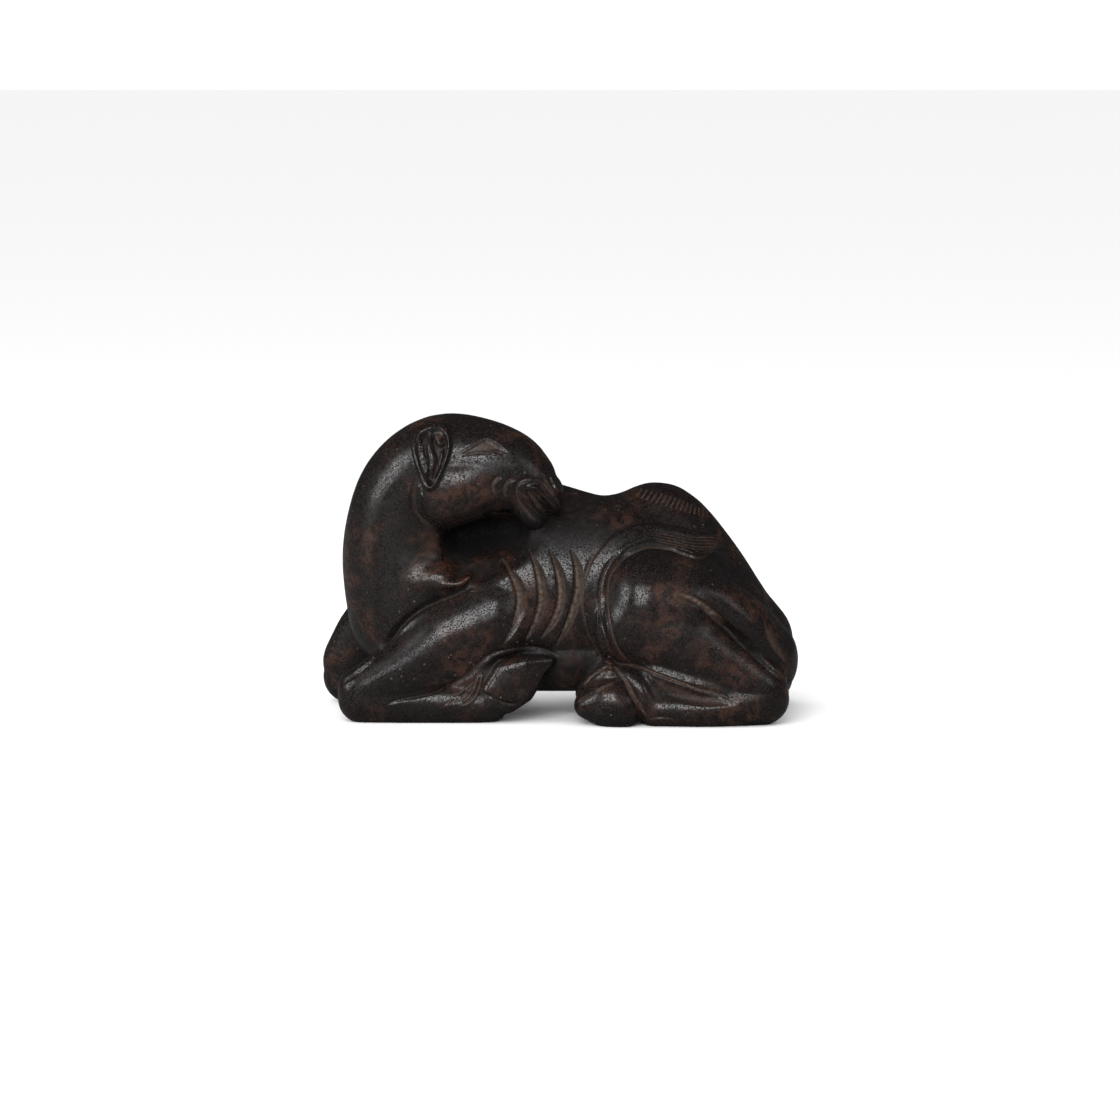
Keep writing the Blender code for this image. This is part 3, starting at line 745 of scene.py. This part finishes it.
NECK_FOLD = [
    (-18.2, 28.6), (-21.7, 26.9), (-25.6, 25.4), (-29.5, 23.4), (-33.5, 19.9), (-38.4, 13.9),
    (-45.2, 8.4),
]
SHANK_EDGE = [(23.7, 27.5), (26.4, 26.8), (29.2, 25.2), (32.2, 22.6), (34, 20.8)]
SHANK_GROOVE = [(28.4, 24.4), (32.3, 21.6), (37.2, 17.5), (42.1, 13.2), (48, 7.4)]
THIGH_LINE = [
    (10.7, 12.5), (13.1, 12.5), (16.2, 12.1), (20.6, 10.7), (25.1, 9.1), (29.2, 7.6), (32.7, 6.9),
    (34.7, 6), (36.6, 4.7),
]
THIGH_LENS = [
    (17.5, 11.5), (20.6, 10.6), (25.1, 9), (29.2, 7.5), (33, 6.7), (36.4, 4.8), (32.7, 4.2),
    (27.5, 4.5), (22.4, 6), (19.4, 8.6),
]
REAR_LENS = [(41.8, 22.4), (44.6, 18.6), (46.6, 15), (47.8, 11), (45.1, 13.6), (42.6, 17.4)]

FOREARM_LINE = [
    (-36.6, 3.8, 0.2), (-33.3, 5, 0.35), (-29.4, 5.7, 0.45), (-25.5, 6.7, 0.6), (-22.7, 7.9, 0.8),
    (-19.6, 9.6, 1), (-17.5, 11.3, 1.1), (-15.7, 12.8, 1.1), (-13.9, 14.1, 1), (-11.7, 14.9, 0.8),
    (-8.8, 15.3, 0.7), (-5.4, 15.2, 0.7), (-2.8, 14.6, 0.7), (-0.4, 13.5, 0.4),
]
HOOF_FACE = [
    (-16.2, 6.8), (-15.6, 8.4), (-14.4, 10.4), (-12.4, 12.6), (-10.1, 13.8), (-7, 14.1),
    (-1.3, 13.2), (-3.3, 10), (-5.2, 6.8), (-8.2, 4.6), (-12, 4.8),
]
HOOF_LINE = [(-16.4, 6.7), (-13.9, 5.7), (-12.1, 4.7), (-9.8, 4.1), (-8, 4.3)]
FETLOCK_RIMS = [
    [(-16.2, 10.2), (-16.4, 8.4), (-17, 6.6), (-18, 5), (-19.3, 4.1), (-20.8, 3.7)],
    [(-16.9, 10.1), (-17.3, 8.4), (-18, 6.8), (-19.1, 5.3), (-20.2, 4.5)],
]
FETLOCK_STROKES = [
    [(-24, 3.9), (-22.7, 5)],
    [(-22.9, 4), (-21.7, 5.4)],
    [(-21.9, 4.2), (-20.8, 5.7)],
    [(-20.9, 4.4), (-19.7, 6.1), (-18.9, 7.3)],
    [(-20.1, 4.9), (-18.9, 6.5), (-18, 8.1)],
    [(-22.4, 5.7), (-20.4, 6.6), (-18.6, 7.9), (-17.4, 9.2)],
]
TOE_BAND = [(10.7, 12.4, 0.5), (13.1, 10, 0.9), (14.8, 7.2, 1), (16.5, 4.5, 1), (18.3, 2.3, 0.7)]
# Lines, each with its width and depth.
TOE_LINES = [
    ([(4.6, 7.7), (6.9, 10.2), (9.3, 11.9), (10.8, 12.5)], 0.9, 0.35),
    ([(3.2, 4.6), (6.2, 6.5), (9.3, 8.5), (12.2, 9.6)], 0.8, 0.4),
    ([(17.9, 1.6), (19.9, 2.1), (22, 2.1), (23.9, 1.5)], 0.8, 0.3),
]
FAR_LINES = [
    ([(9, 22), (10, 16.5), (13, 12.6), (18, 11), (26, 9.6), (34, 7)], 1.9, 0.9),
    ([(-38, 5), (-30, 5.6), (-22, 7.6), (-17, 11)], 1.7, 0.8),
    ([(24, 27), (27.4, 25.4), (32.3, 22.3), (37.2, 18.1), (42.1, 13.8), (46.4, 9.4)], 2.4, 1.0),
]


def carve_raised_marks(carving, sizes):
    """The tail laid over the haunch, the ears and the hoof's face."""
    tail_rise = sizes.tail_rise / MM
    carving.line(TAIL, width=5.6, depth=tail_rise, section=raised_band, open_ends=True)
    for view in (NEAR, FAR):
        carving.patch(EAR, rise=sizes.ear_rise / MM, edge=0.9, view=view)
    carving.patch(HOOF_FACE, rise=0.6, edge=0.5)
    carving.put_back()


def carve_tail(carving):
    """The tail's two strands and the long hairs of its tuft."""
    carving.line(TAIL_OUTER, width=1.2, depth=0.45, section=round_groove, residue=0.4)
    carving.line(TAIL_GROOVE, width=0.8, depth=0.5, section=knife_cut, residue=0.2)
    carving.line(TAIL_INNER, width=1.5, depth=0.7, section=wall_on_left, residue=0.55)
    upper = curve_through(TUFT_UPPER, TUFT_STEPS)
    lower = curve_through(TUFT_LOWER, TUFT_STEPS)
    for share in np.linspace(0, 1, TUFT_STROKES):
        stroke = (1 - share) * upper + share * lower
        stroke = [tuple(point) for point in stroke]
        carving.line(stroke, width=0.5, depth=0.45, section=knife_cut, residue=0.7)


def carve_hump_hair(carving):
    """Short strokes that fan out over the rear hump, on both sides."""
    shares = np.linspace(0, 1, HUMP_STROKES)
    for view in (NEAR, FAR):
        roots = arc_through(*HUMP_ROOTS, shares)
        tips = arc_through(*HUMP_TIPS, shares)
        for root, tip in zip(roots, tips):
            stroke = [tuple(root), tuple((root + tip) / 2), tuple(tip)]
            carving.line(stroke, width=0.6, depth=0.34, section=knife_cut, residue=0.85, view=view)


def carve_ear(carving, view):
    """The bowl of the ear, its folds and the curl at its top."""
    carving.patch(EAR_BOWL, rise=-1.7, edge=0.7, residue=0.12, view=view)
    carving.put_back()
    for points, width, rise in EAR_FOLDS:
        carving.line(points, width, rise, raised_cord, view=view)
    carving.patch(EAR_CURL, rise=1.1, edge=0.6, residue=0.3, view=view)
    carving.patch(EAR_PIT, rise=-1.2, edge=0.3, view=view)
    carving.line(EAR_ROOT, width=0.8, depth=0.4, section=raised_cord, view=view)
    carving.soften(EAR, view)


def carve_head(carving):
    """Eyes, wrinkles, lips and nostril."""
    for view in (NEAR, FAR):
        carve_ear(carving, view)
        carving.patch(EYE_PANEL, rise=-0.3, edge=0.5, residue=0.42, view=view)
        carving.line(EYE_UPPER, width=0.6, depth=0.14, section=knife_cut, residue=0.35, view=view)
        carving.line(EYE_LOWER, width=0.6, depth=0.25, section=knife_cut, residue=0.4, view=view)
    for points in CHEEK_WRINKLES:
        carving.line(points, width=0.95, depth=0.4, section=flat_groove, residue=0.5)
    for lip in (UPPER_LIP, LOWER_LIP):
        carving.patch(lip, rise=0.7, edge=0.9)
    for points in LIP_LINES:
        carving.line(points, width=1.1, depth=0.45, section=round_groove, residue=0.35)
    carving.line(MOUTH, width=1.3, depth=1.0, section=flat_groove, residue=0.4, fade=0.1)
    carving.line(NOSTRIL_RIM, width=1.0, depth=0.3, section=raised_cord)
    carving.line(NOSTRIL, width=0.9, depth=0.6, section=knife_cut)
    carving.line(JAW_EDGE, width=1.8, depth=0.45, section=round_groove, residue=0.25)


def carve_trunk(carving, sizes):
    """Ribs and the fold under the neck."""
    shares = np.linspace(0, 1, len(RIB_WIDTHS))
    for rib in RIBS:
        points = [(*point, width) for point, width in zip(arc_through(*rib, shares), RIB_WIDTHS)]
        depth = sizes.rib_depth / MM
        width = sizes.rib_width / MM
        carving.line(points, width, depth, wall_on_right, residue=1)
        carving.line(points, width, depth, wall_on_left, residue=1, view=FAR)
    carving.line(NECK_FOLD, width=2.2, depth=1.3, section=wall_on_left)


def carve_hind_leg(carving):
    """The lines and lenses of the near thigh, shank and toes."""
    carving.line(SHANK_EDGE, width=2.2, depth=0.6, section=wall_on_left, residue=0.9)
    carving.line(SHANK_GROOVE, width=2.8, depth=1.5, section=wall_on_left, fade=0.3)
    carving.patch(THIGH_LENS, rise=-0.5, edge=1.5, residue=0.35)
    carving.line(THIGH_LINE, width=1.1, depth=0.45, section=wall_on_left, residue=0.7)
    carving.line(TOE_BAND, width=1.5, depth=0.6, section=flat_groove, residue=0.6)
    carving.patch(REAR_LENS, rise=-0.5, edge=0.9, residue=0.45)
    for points, width, depth in TOE_LINES:
        carving.line(points, width, depth, round_groove, residue=0.5)


def carve_front_leg(carving):
    """The near forearm's line, the hoof and the hair of the fetlock."""
    carving.line(FOREARM_LINE, width=1.9, depth=1.0, section=wall_on_left, residue=0.45, fade=0.3)
    carving.line(HOOF_LINE, width=0.7, depth=0.25, section=round_groove, residue=0.3)
    for points in FETLOCK_RIMS:
        carving.line(points, width=0.6, depth=0.3, section=raised_cord, residue=0.6)
    for points in FETLOCK_STROKES:
        points = curve_through([(*point, 1) for point in points], 3)
        points = [tuple(point) for point in points]
        carving.line(points, width=0.5, depth=0.2, section=knife_cut, residue=1)


def carve_far_side(carving):
    """The plainer lines of the far legs."""
    for points, width, depth in FAR_LINES:
        carving.line(points, width, depth, round_groove, residue=0.4, view=FAR)


def rest_on_floor(body):
    """Cuts everything below the floor away, which leaves flat feet."""
    mesh = bmesh.new()
    mesh.from_mesh(body.data)
    geometry = mesh.verts[:] + mesh.edges[:] + mesh.faces[:]
    bmesh.ops.bisect_plane(mesh, geom=geometry, plane_co=(0, 0, 0), plane_no=(0, 0, -1), clear_outer=True)
    rim = [edge for edge in mesh.edges if edge.is_boundary]
    bmesh.ops.holes_fill(mesh, edges=rim, sides=0)
    flat = [face for face in mesh.faces if len(face.verts) > 4]
    bmesh.ops.triangulate(mesh, faces=flat)
    mesh.to_mesh(body.data)
    mesh.free()


def thin_out(body, triangles):
    """Fewer facets where the surface is plain."""
    modifier = body.modifiers.new("fewer_facets", "DECIMATE")
    modifier.ratio = min(1, triangles / (2 * len(body.data.polygons)))
    modifier.use_collapse_triangulate = True
    apply_modifiers(body)


def fit_box(body):
    """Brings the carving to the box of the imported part."""
    places = read_vertices(body, "co")
    low = places.min(axis=0)
    high = places.max(axis=0)
    box_low, box_high = (np.array(corner) for corner in CAD_BOX)
    places = (places - low) / (high - low) * (box_high - box_low) + box_low
    body.data.vertices.foreach_set("co", places.ravel())
    body.data.update()


def store(body, name, values):
    attribute = body.data.attributes.new(name, "FLOAT", "POINT")
    attribute.data.foreach_set("value", values.astype(np.float32))


def measure_hollows(body, repeats, scale):
    """How far each vertex lies below the surface smoothed round it.

    0.5 is level, 0 a ridge and 1 a hollow.
    """
    places = read_vertices(body, "co") / MM
    normals = read_vertices(body, "normal")
    first, second = read_edges(body).T
    count = len(places)
    links = np.bincount(first, minlength=count) + np.bincount(second, minlength=count)
    smooth = places.copy()
    for _ in range(repeats):
        total = np.zeros_like(smooth)
        for axis in range(3):
            total[:, axis] = np.bincount(first, smooth[second, axis], count)
            total[:, axis] += np.bincount(second, smooth[first, axis], count)
        smooth = 0.5 * smooth + 0.5 * total / links[:, None]
    below = ((smooth - places) * normals).sum(axis=1)
    return np.clip(0.5 + below / scale, 0, 1)


def measure_shade_and_dullness_under_head(body):
    """How much painted shade and dullness each vertex gets on the flank under the muzzle, which the head
    shades.
    """
    places = read_vertices(body, "co")[:, [0, 2]] / MM
    offset = np.linalg.norm((places - UNDER_HEAD_CENTRE) / UNDER_HEAD_REACH, axis=1)
    return UNDER_HEAD_SHADE_AND_DULLNESS * ease(UNDER_HEAD_FADE * (1 - offset))


# Stone.
def new_node(tree, kind, column, **settings):
    """A new node under those already in its column, which counts leftward from the shader."""
    row = sum(node.location.x == column * COLUMN_STEP for node in tree.nodes)
    node = tree.nodes.new(kind)
    node.location = (column * COLUMN_STEP, -row * ROW_STEP)
    for name, value in settings.items():
        setattr(node, name, value)
    return node


def noise(tree, column, scale, detail, roughness, distortion=0.0):
    node = new_node(tree, "ShaderNodeTexNoise", column)
    node.inputs["Scale"].default_value = scale
    node.inputs["Detail"].default_value = detail
    node.inputs["Roughness"].default_value = roughness
    node.inputs["Distortion"].default_value = distortion
    return node


def map_range(tree, column, source, low, high, to_low=0.0, to_high=1.0):
    node = new_node(tree, "ShaderNodeMapRange", column)
    node.interpolation_type = "SMOOTHSTEP"
    node.inputs["From Min"].default_value = low
    node.inputs["From Max"].default_value = high
    node.inputs["To Min"].default_value = to_low
    node.inputs["To Max"].default_value = to_high
    tree.links.new(source, node.inputs["Value"])
    return node.outputs["Result"]


def combine(tree, column, operation, first, second, clamp=True):
    node = new_node(tree, "ShaderNodeMath", column, operation=operation, use_clamp=clamp)
    for socket, value in zip(node.inputs, (first, second)):
        if isinstance(value, (int, float)):
            socket.default_value = value
        else:
            tree.links.new(value, socket)
    return node.outputs["Value"]


def mix_colours(tree, column, factor, first, second):
    node = new_node(tree, "ShaderNodeMix", column, data_type="RGBA")
    tree.links.new(factor, node.inputs["Factor"])
    sockets = [socket for socket in node.inputs if socket.type == "RGBA"]
    for socket, value in zip(sockets, (first, second)):
        if isinstance(value, bpy.types.NodeSocket):
            tree.links.new(value, socket)
        else:
            socket.default_value = (*value, 1)
    return [socket for socket in node.outputs if socket.type == "RGBA"][0]


def attribute_value(tree, column, name):
    node = new_node(tree, "ShaderNodeAttribute", column, attribute_name=name)
    return node.outputs["Fac"]


def jade_material(finish):
    """Near-black brown jade with russet clouds, a pitted polish, residue in the cuts and painted shade in
    the wide hollows and under the head.
    """
    material = bpy.data.materials.new("dark_jade_polished")
    material.use_nodes = True
    tree = material.node_tree
    principled = tree.nodes["Principled BSDF"]
    spot = new_node(tree, "ShaderNodeTexCoord", -10).outputs["Object"]

    clouds = noise(tree, -9, 80, 6, 0.62, 0.4)
    veins = noise(tree, -9, 430, 8, 0.72, 0.8)
    grain = noise(tree, -9, 1300, 3, 0.6)
    pits = noise(tree, -9, 3300, 3, 0.6)
    specks = new_node(tree, "ShaderNodeTexVoronoi", -9)
    specks.inputs["Scale"].default_value = 620
    ripple = noise(tree, -9, 700, 4, 0.65)
    for node in (clouds, veins, grain, pits, specks, ripple):
        tree.links.new(spot, node.inputs["Vector"])

    residue = attribute_value(tree, -9, "residue")
    hollow = attribute_value(tree, -9, "hollow")
    painted_shade_and_matte = attribute_value(tree, -9, "painted_shade_and_matte")

    # Colour: russet clouds and grey streaks in the dark stone, with pale specks.
    russet = map_range(tree, -8, clouds.outputs["Fac"], 0.44, 0.66)
    russet_fine = map_range(tree, -8, veins.outputs["Fac"], 0.4, 0.62)
    russet = combine(tree, -7, "MULTIPLY", russet, russet_fine)
    colour = mix_colours(tree, -6, russet, finish.deep_colour, finish.russet_colour)
    streak = map_range(tree, -8, veins.outputs["Fac"], 0.54, 0.74, 0, 0.7)
    colour = mix_colours(tree, -5, streak, colour, finish.grey_colour)
    speck = map_range(tree, -8, specks.outputs["Distance"], 0.16, 0.08)
    some = map_range(tree, -8, specks.outputs["Color"], 0.66, 0.7, 0, 0.7)
    speck = combine(tree, -7, "MULTIPLY", speck, some)
    colour = mix_colours(tree, -4, speck, colour, finish.residue_colour)

    # What lies in the cuts, and painted shade in the wide hollows and on the flank under the head.
    fleck = map_range(tree, -8, grain.outputs["Fac"], 0.35, 0.6, 0.45, 1)
    deposit = combine(tree, -7, "MULTIPLY", residue, fleck)
    hollow_only = map_range(tree, -8, hollow, 0.7, 1.0, 0, 0.25)
    dust = combine(tree, -7, "MULTIPLY", hollow_only, fleck)
    deposit = combine(tree, -6, "MAXIMUM", deposit, dust)
    # Painted shade: the wide hollows and the flank under the head are darkened toward the shade colour.
    painted_shade_amount = combine(tree, -4, "MULTIPLY", painted_shade_and_matte, 0.8)
    colour = mix_colours(tree, -3, painted_shade_amount, colour, finish.shade_colour)
    film = map_range(tree, -4, deposit, 0, 0.4, 0, 0.9)
    colour = mix_colours(tree, -2, film, colour, finish.film_colour)
    crust = map_range(tree, -4, deposit, 0.35, 1)
    colour = mix_colours(tree, -1, crust, colour, finish.residue_colour)
    tree.links.new(colour, principled.inputs["Base Color"])

    # Polish: ridges are worn smooth; residue, the wide hollows, the flank under the head and pits are
    # rough.
    dent = map_range(tree, -8, pits.outputs["Fac"], 0.48, 0.38)
    worn = map_range(tree, -8, hollow, 0.5, 0.25, 0, 0.06)
    smoothest = finish.roughness - 0.05
    roughest = finish.roughness + 0.09
    rough = map_range(tree, -6, ripple.outputs["Fac"], 0.35, 0.65, smoothest, roughest)
    rough = combine(tree, -5, "SUBTRACT", rough, worn)
    matte = combine(tree, -5, "MULTIPLY", deposit, 0.4)
    rough = combine(tree, -4, "ADD", rough, matte)
    unpolished = combine(tree, -4, "MULTIPLY", painted_shade_and_matte, 0.4)
    rough = combine(tree, -3, "ADD", rough, unpolished)
    pitted = combine(tree, -4, "MULTIPLY", dent, 0.45)
    rough = combine(tree, -2, "ADD", rough, pitted)
    tree.links.new(rough, principled.inputs["Roughness"])

    # Pits and a faint ripple.
    sunk = combine(tree, -6, "SUBTRACT", 1.0, dent)
    waves = combine(tree, -6, "MULTIPLY", ripple.outputs["Fac"], 0.5)
    height = combine(tree, -5, "ADD", sunk, waves, False)
    bump = new_node(tree, "ShaderNodeBump", -3)
    bump.inputs["Strength"].default_value = 1.0
    bump.inputs["Distance"].default_value = finish.pit_depth
    tree.links.new(height, bump.inputs["Height"])
    tree.links.new(bump.outputs["Normal"], principled.inputs["Normal"])
    principled.inputs["IOR"].default_value = 1.5
    return material


# Studio.
def add_floor(settings):
    mesh = bmesh.new()
    bmesh.ops.create_grid(mesh, x_segments=1, y_segments=1, size=FLOOR_HALF)
    floor = link_mesh("studio_floor", mesh)
    floor.location.z = CAD_BOX[0].z - FLOOR_GAP
    floor.data.materials.append(floor_material(settings))


def dim_in_polish(tree, seen, reflected, output):
    """Shows one shader to the camera and a dimmer one to the polish's reflections."""
    path = new_node(tree, "ShaderNodeLightPath", -1)
    mix = new_node(tree, "ShaderNodeMixShader", 2)
    output.location.x = 3 * COLUMN_STEP
    tree.links.new(path.outputs["Is Glossy Ray"], mix.inputs["Fac"])
    tree.links.new(seen, mix.inputs[1])
    tree.links.new(reflected, mix.inputs[2])
    tree.links.new(mix.outputs["Shader"], output.inputs["Surface"])


def floor_material(settings):
    """A pale matte floor that throws little light back up into the polish."""
    material = bpy.data.materials.new("pale_floor")
    material.use_nodes = True
    tree = material.node_tree
    principled = tree.nodes["Principled BSDF"]
    principled.inputs["Base Color"].default_value = (*settings.floor_colour, 1)
    principled.inputs["Roughness"].default_value = 0.9
    dim = new_node(tree, "ShaderNodeBsdfDiffuse", -1)
    dim.inputs["Color"].default_value = (FLOOR_IN_POLISH, FLOOR_IN_POLISH, FLOOR_IN_POLISH, 1)
    output = tree.nodes["Material Output"]
    dim_in_polish(tree, principled.outputs["BSDF"], dim.outputs["BSDF"], output)
    return material


def set_world(context):
    """White all round for the floor and the camera, and dim in the polish."""
    world = bpy.data.worlds.new("studio_world")
    world.use_nodes = True
    tree = world.node_tree
    white = tree.nodes["Background"]
    white.inputs["Color"].default_value = (1, 1, 1, 1)
    white.inputs["Strength"].default_value = WORLD_STRENGTH
    dim = new_node(tree, "ShaderNodeBackground", -1)
    dim.inputs["Color"].default_value = (1, 1, 1, 1)
    dim.inputs["Strength"].default_value = WORLD_IN_POLISH
    output = tree.nodes["World Output"]
    dim_in_polish(tree, white.outputs["Background"], dim.outputs["Background"], output)
    context.scene.world = world


def add_softbox(name, place, aim, size, power):
    light = bpy.data.lights.new(name, "AREA")
    light.shape = "RECTANGLE"
    light.size, light.size_y = size
    light.energy = power
    made = bpy.data.objects.new(name, light)
    bpy.context.scene.collection.objects.link(made)
    made.location = place
    made.rotation_euler = (Vector(aim) - Vector(place)).to_track_quat("-Z", "Y").to_euler()


def add_camera(aim):
    camera = bpy.data.cameras.new("studio_camera")
    camera.sensor_width = CAMERA_SENSOR
    camera.lens = CAMERA_LENS
    camera.clip_start = CAMERA_CLIP
    made = bpy.data.objects.new("studio_camera", camera)
    bpy.context.scene.collection.objects.link(made)
    back = Vector((0, -np.cos(CAMERA_ELEVATION), np.sin(CAMERA_ELEVATION)))
    made.location = Vector(aim) + back * CAMERA_DISTANCE
    made.rotation_mode = "QUATERNION"
    made.rotation_quaternion = (-back).to_track_quat("-Z", "Y")
    bpy.context.scene.camera = made


# Settings that a user would change.
def length_setting(name, description, default):
    return FloatProperty(
        name=name, description=description, default=default, subtype="DISTANCE", unit="LENGTH"
    )


def colour_setting(name, description, default):
    return FloatVectorProperty(
        name=name, description=description, default=default, subtype="COLOR", min=0, max=1
    )


def power_setting(name, description, default):
    return FloatProperty(name=name, description=description, default=default, unit="POWER")


class JadeCarvingSizes(bpy.types.PropertyGroup):
    rib_depth: length_setting("Rib depth", "Depth of each rib cut", 1.1 * MM)
    rib_width: length_setting("Rib width", "Width of each rib cut", 2.7 * MM)
    tail_rise: length_setting("Tail rise", "Height of the tail over the haunch", 0.9 * MM)
    ear_rise: length_setting("Ear rise", "Height of the ears over the head", 1.2 * MM)


class JadeStoneFinish(bpy.types.PropertyGroup):
    deep_colour: colour_setting("Deep colour", "Colour of the darkest stone", (0.0042, 0.0021, 0.0017))
    russet_colour: colour_setting("Russet colour", "Colour of the warm clouds", (0.038, 0.0135, 0.0068))
    grey_colour: colour_setting("Grey colour", "Colour of the grey streaks", (0.0135, 0.009, 0.0066))
    # Painted shade: the colour that the wide hollows and the flank under the head are darkened toward.
    shade_colour: colour_setting(
        "Shade colour", "Colour of the unpolished hollows", (0.0022, 0.002, 0.0018)
    )
    film_colour: colour_setting(
        "Film colour", "Colour of a thin film in the cuts", (0.033, 0.0165, 0.0096)
    )
    residue_colour: colour_setting(
        "Residue colour", "Colour of what lies in the cuts", (0.085, 0.064, 0.049)
    )
    roughness: FloatProperty(
        name="Roughness",
        description="Roughness of the polished skin",
        default=0.26,
        subtype="FACTOR",
        min=0,
        max=1,
    )
    pit_depth: length_setting("Pit depth", "Depth of the pits in the polish", 0.05 * MM)


class JadeStudioSettings(bpy.types.PropertyGroup):
    floor_colour: colour_setting("Floor colour", "Colour of the floor", (0.93, 0.93, 0.93))
    key_power: power_setting("Key light", "Power of the key softbox", 4.4)
    side_power: power_setting("Side light", "Power of the side softbox", 2.4)
    fill_power: power_setting("Fill light", "Power of the fill softbox", 0.4)


class JADE_OT_carve_camel(bpy.types.Operator):
    """Carve the camel from its masses, cut its marks and give it its stone"""

    bl_idname = "jade.carve_camel"
    bl_label = "Carve camel"

    def execute(self, context):
        sizes = context.scene.jade_sizes
        body = model_body()
        carving = Carving(body)
        carve_raised_marks(carving, sizes)
        carve_trunk(carving, sizes)
        carve_hind_leg(carving)
        carve_front_leg(carving)
        carve_far_side(carving)
        carving.put_back()
        carve_tail(carving)
        carve_hump_hair(carving)
        carve_head(carving)
        carving.put_back()
        store(body, "residue", carving.residue)
        add_smooth(body, LAST_RUBS)
        apply_modifiers(body)
        thin_out(body, TRIANGLES)
        rest_on_floor(body)
        fit_box(body)
        store(body, "hollow", measure_hollows(body, CUT_SMOOTHING, CUT_SCALE))
        # The wide hollows and the flank under the head: painted shade in the colour and a rougher polish.
        painted_shade_and_matte = np.clip(measure_hollows(body, SHELTER_SMOOTHING, SHELTER_SCALE) * 2 - 1, 0, 1)
        store(body, "painted_shade_and_matte", np.maximum(painted_shade_and_matte, measure_shade_and_dullness_under_head(body)))
        body.data.shade_smooth()
        body.data.materials.append(jade_material(context.scene.jade_finish))
        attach(body, "root")
        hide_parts("camel_figurine")
        return {"FINISHED"}


class JADE_OT_set_studio(bpy.types.Operator):
    """Set the floor, the softboxes and the camera"""

    bl_idname = "jade.set_studio"
    bl_label = "Set studio"

    def execute(self, context):
        settings = context.scene.jade_studio
        low, high = CAD_BOX
        foot = Vector(((low.x + high.x) / 2, (low.y + high.y) / 2, low.z))
        aim = foot + Vector(AIM_FROM_FOOT)
        add_floor(settings)
        powers = (settings.key_power, settings.side_power, settings.fill_power)
        for (name, place, size), power in zip(SOFTBOXES, powers):
            add_softbox(name, place, aim, size, power)
        set_world(context)
        context.scene.view_settings.view_transform = "Standard"
        add_camera(aim)
        return {"FINISHED"}


class JADE_PT_sidebar(bpy.types.Panel):
    """The pieces and settings of the jade camel"""

    bl_idname = "JADE_PT_sidebar"
    bl_label = "Jade Camel"
    bl_space_type = "VIEW_3D"
    bl_region_type = "UI"
    bl_category = "Jade Camel"

    def draw(self, context):
        layout = self.layout
        for group in (context.scene.jade_sizes, context.scene.jade_finish, context.scene.jade_studio):
            box = layout.box()
            for name in group.__annotations__:
                box.prop(group, name)
        layout.operator(JADE_OT_carve_camel.bl_idname)
        layout.operator(JADE_OT_set_studio.bl_idname)


CLASSES = (
    JadeCarvingSizes,
    JadeStoneFinish,
    JadeStudioSettings,
    JADE_OT_carve_camel,
    JADE_OT_set_studio,
    JADE_PT_sidebar,
)


def register():
    for each in CLASSES:
        bpy.utils.register_class(each)
    bpy.types.Scene.jade_sizes = PointerProperty(type=JadeCarvingSizes)
    bpy.types.Scene.jade_finish = PointerProperty(type=JadeStoneFinish)
    bpy.types.Scene.jade_studio = PointerProperty(type=JadeStudioSettings)


def unregister():
    del bpy.types.Scene.jade_studio
    del bpy.types.Scene.jade_finish
    del bpy.types.Scene.jade_sizes
    for each in reversed(CLASSES):
        bpy.utils.unregister_class(each)


def main():
    register()
    bpy.ops.jade.carve_camel()
    bpy.ops.jade.set_studio()


if __name__ == "__main__":
    main()
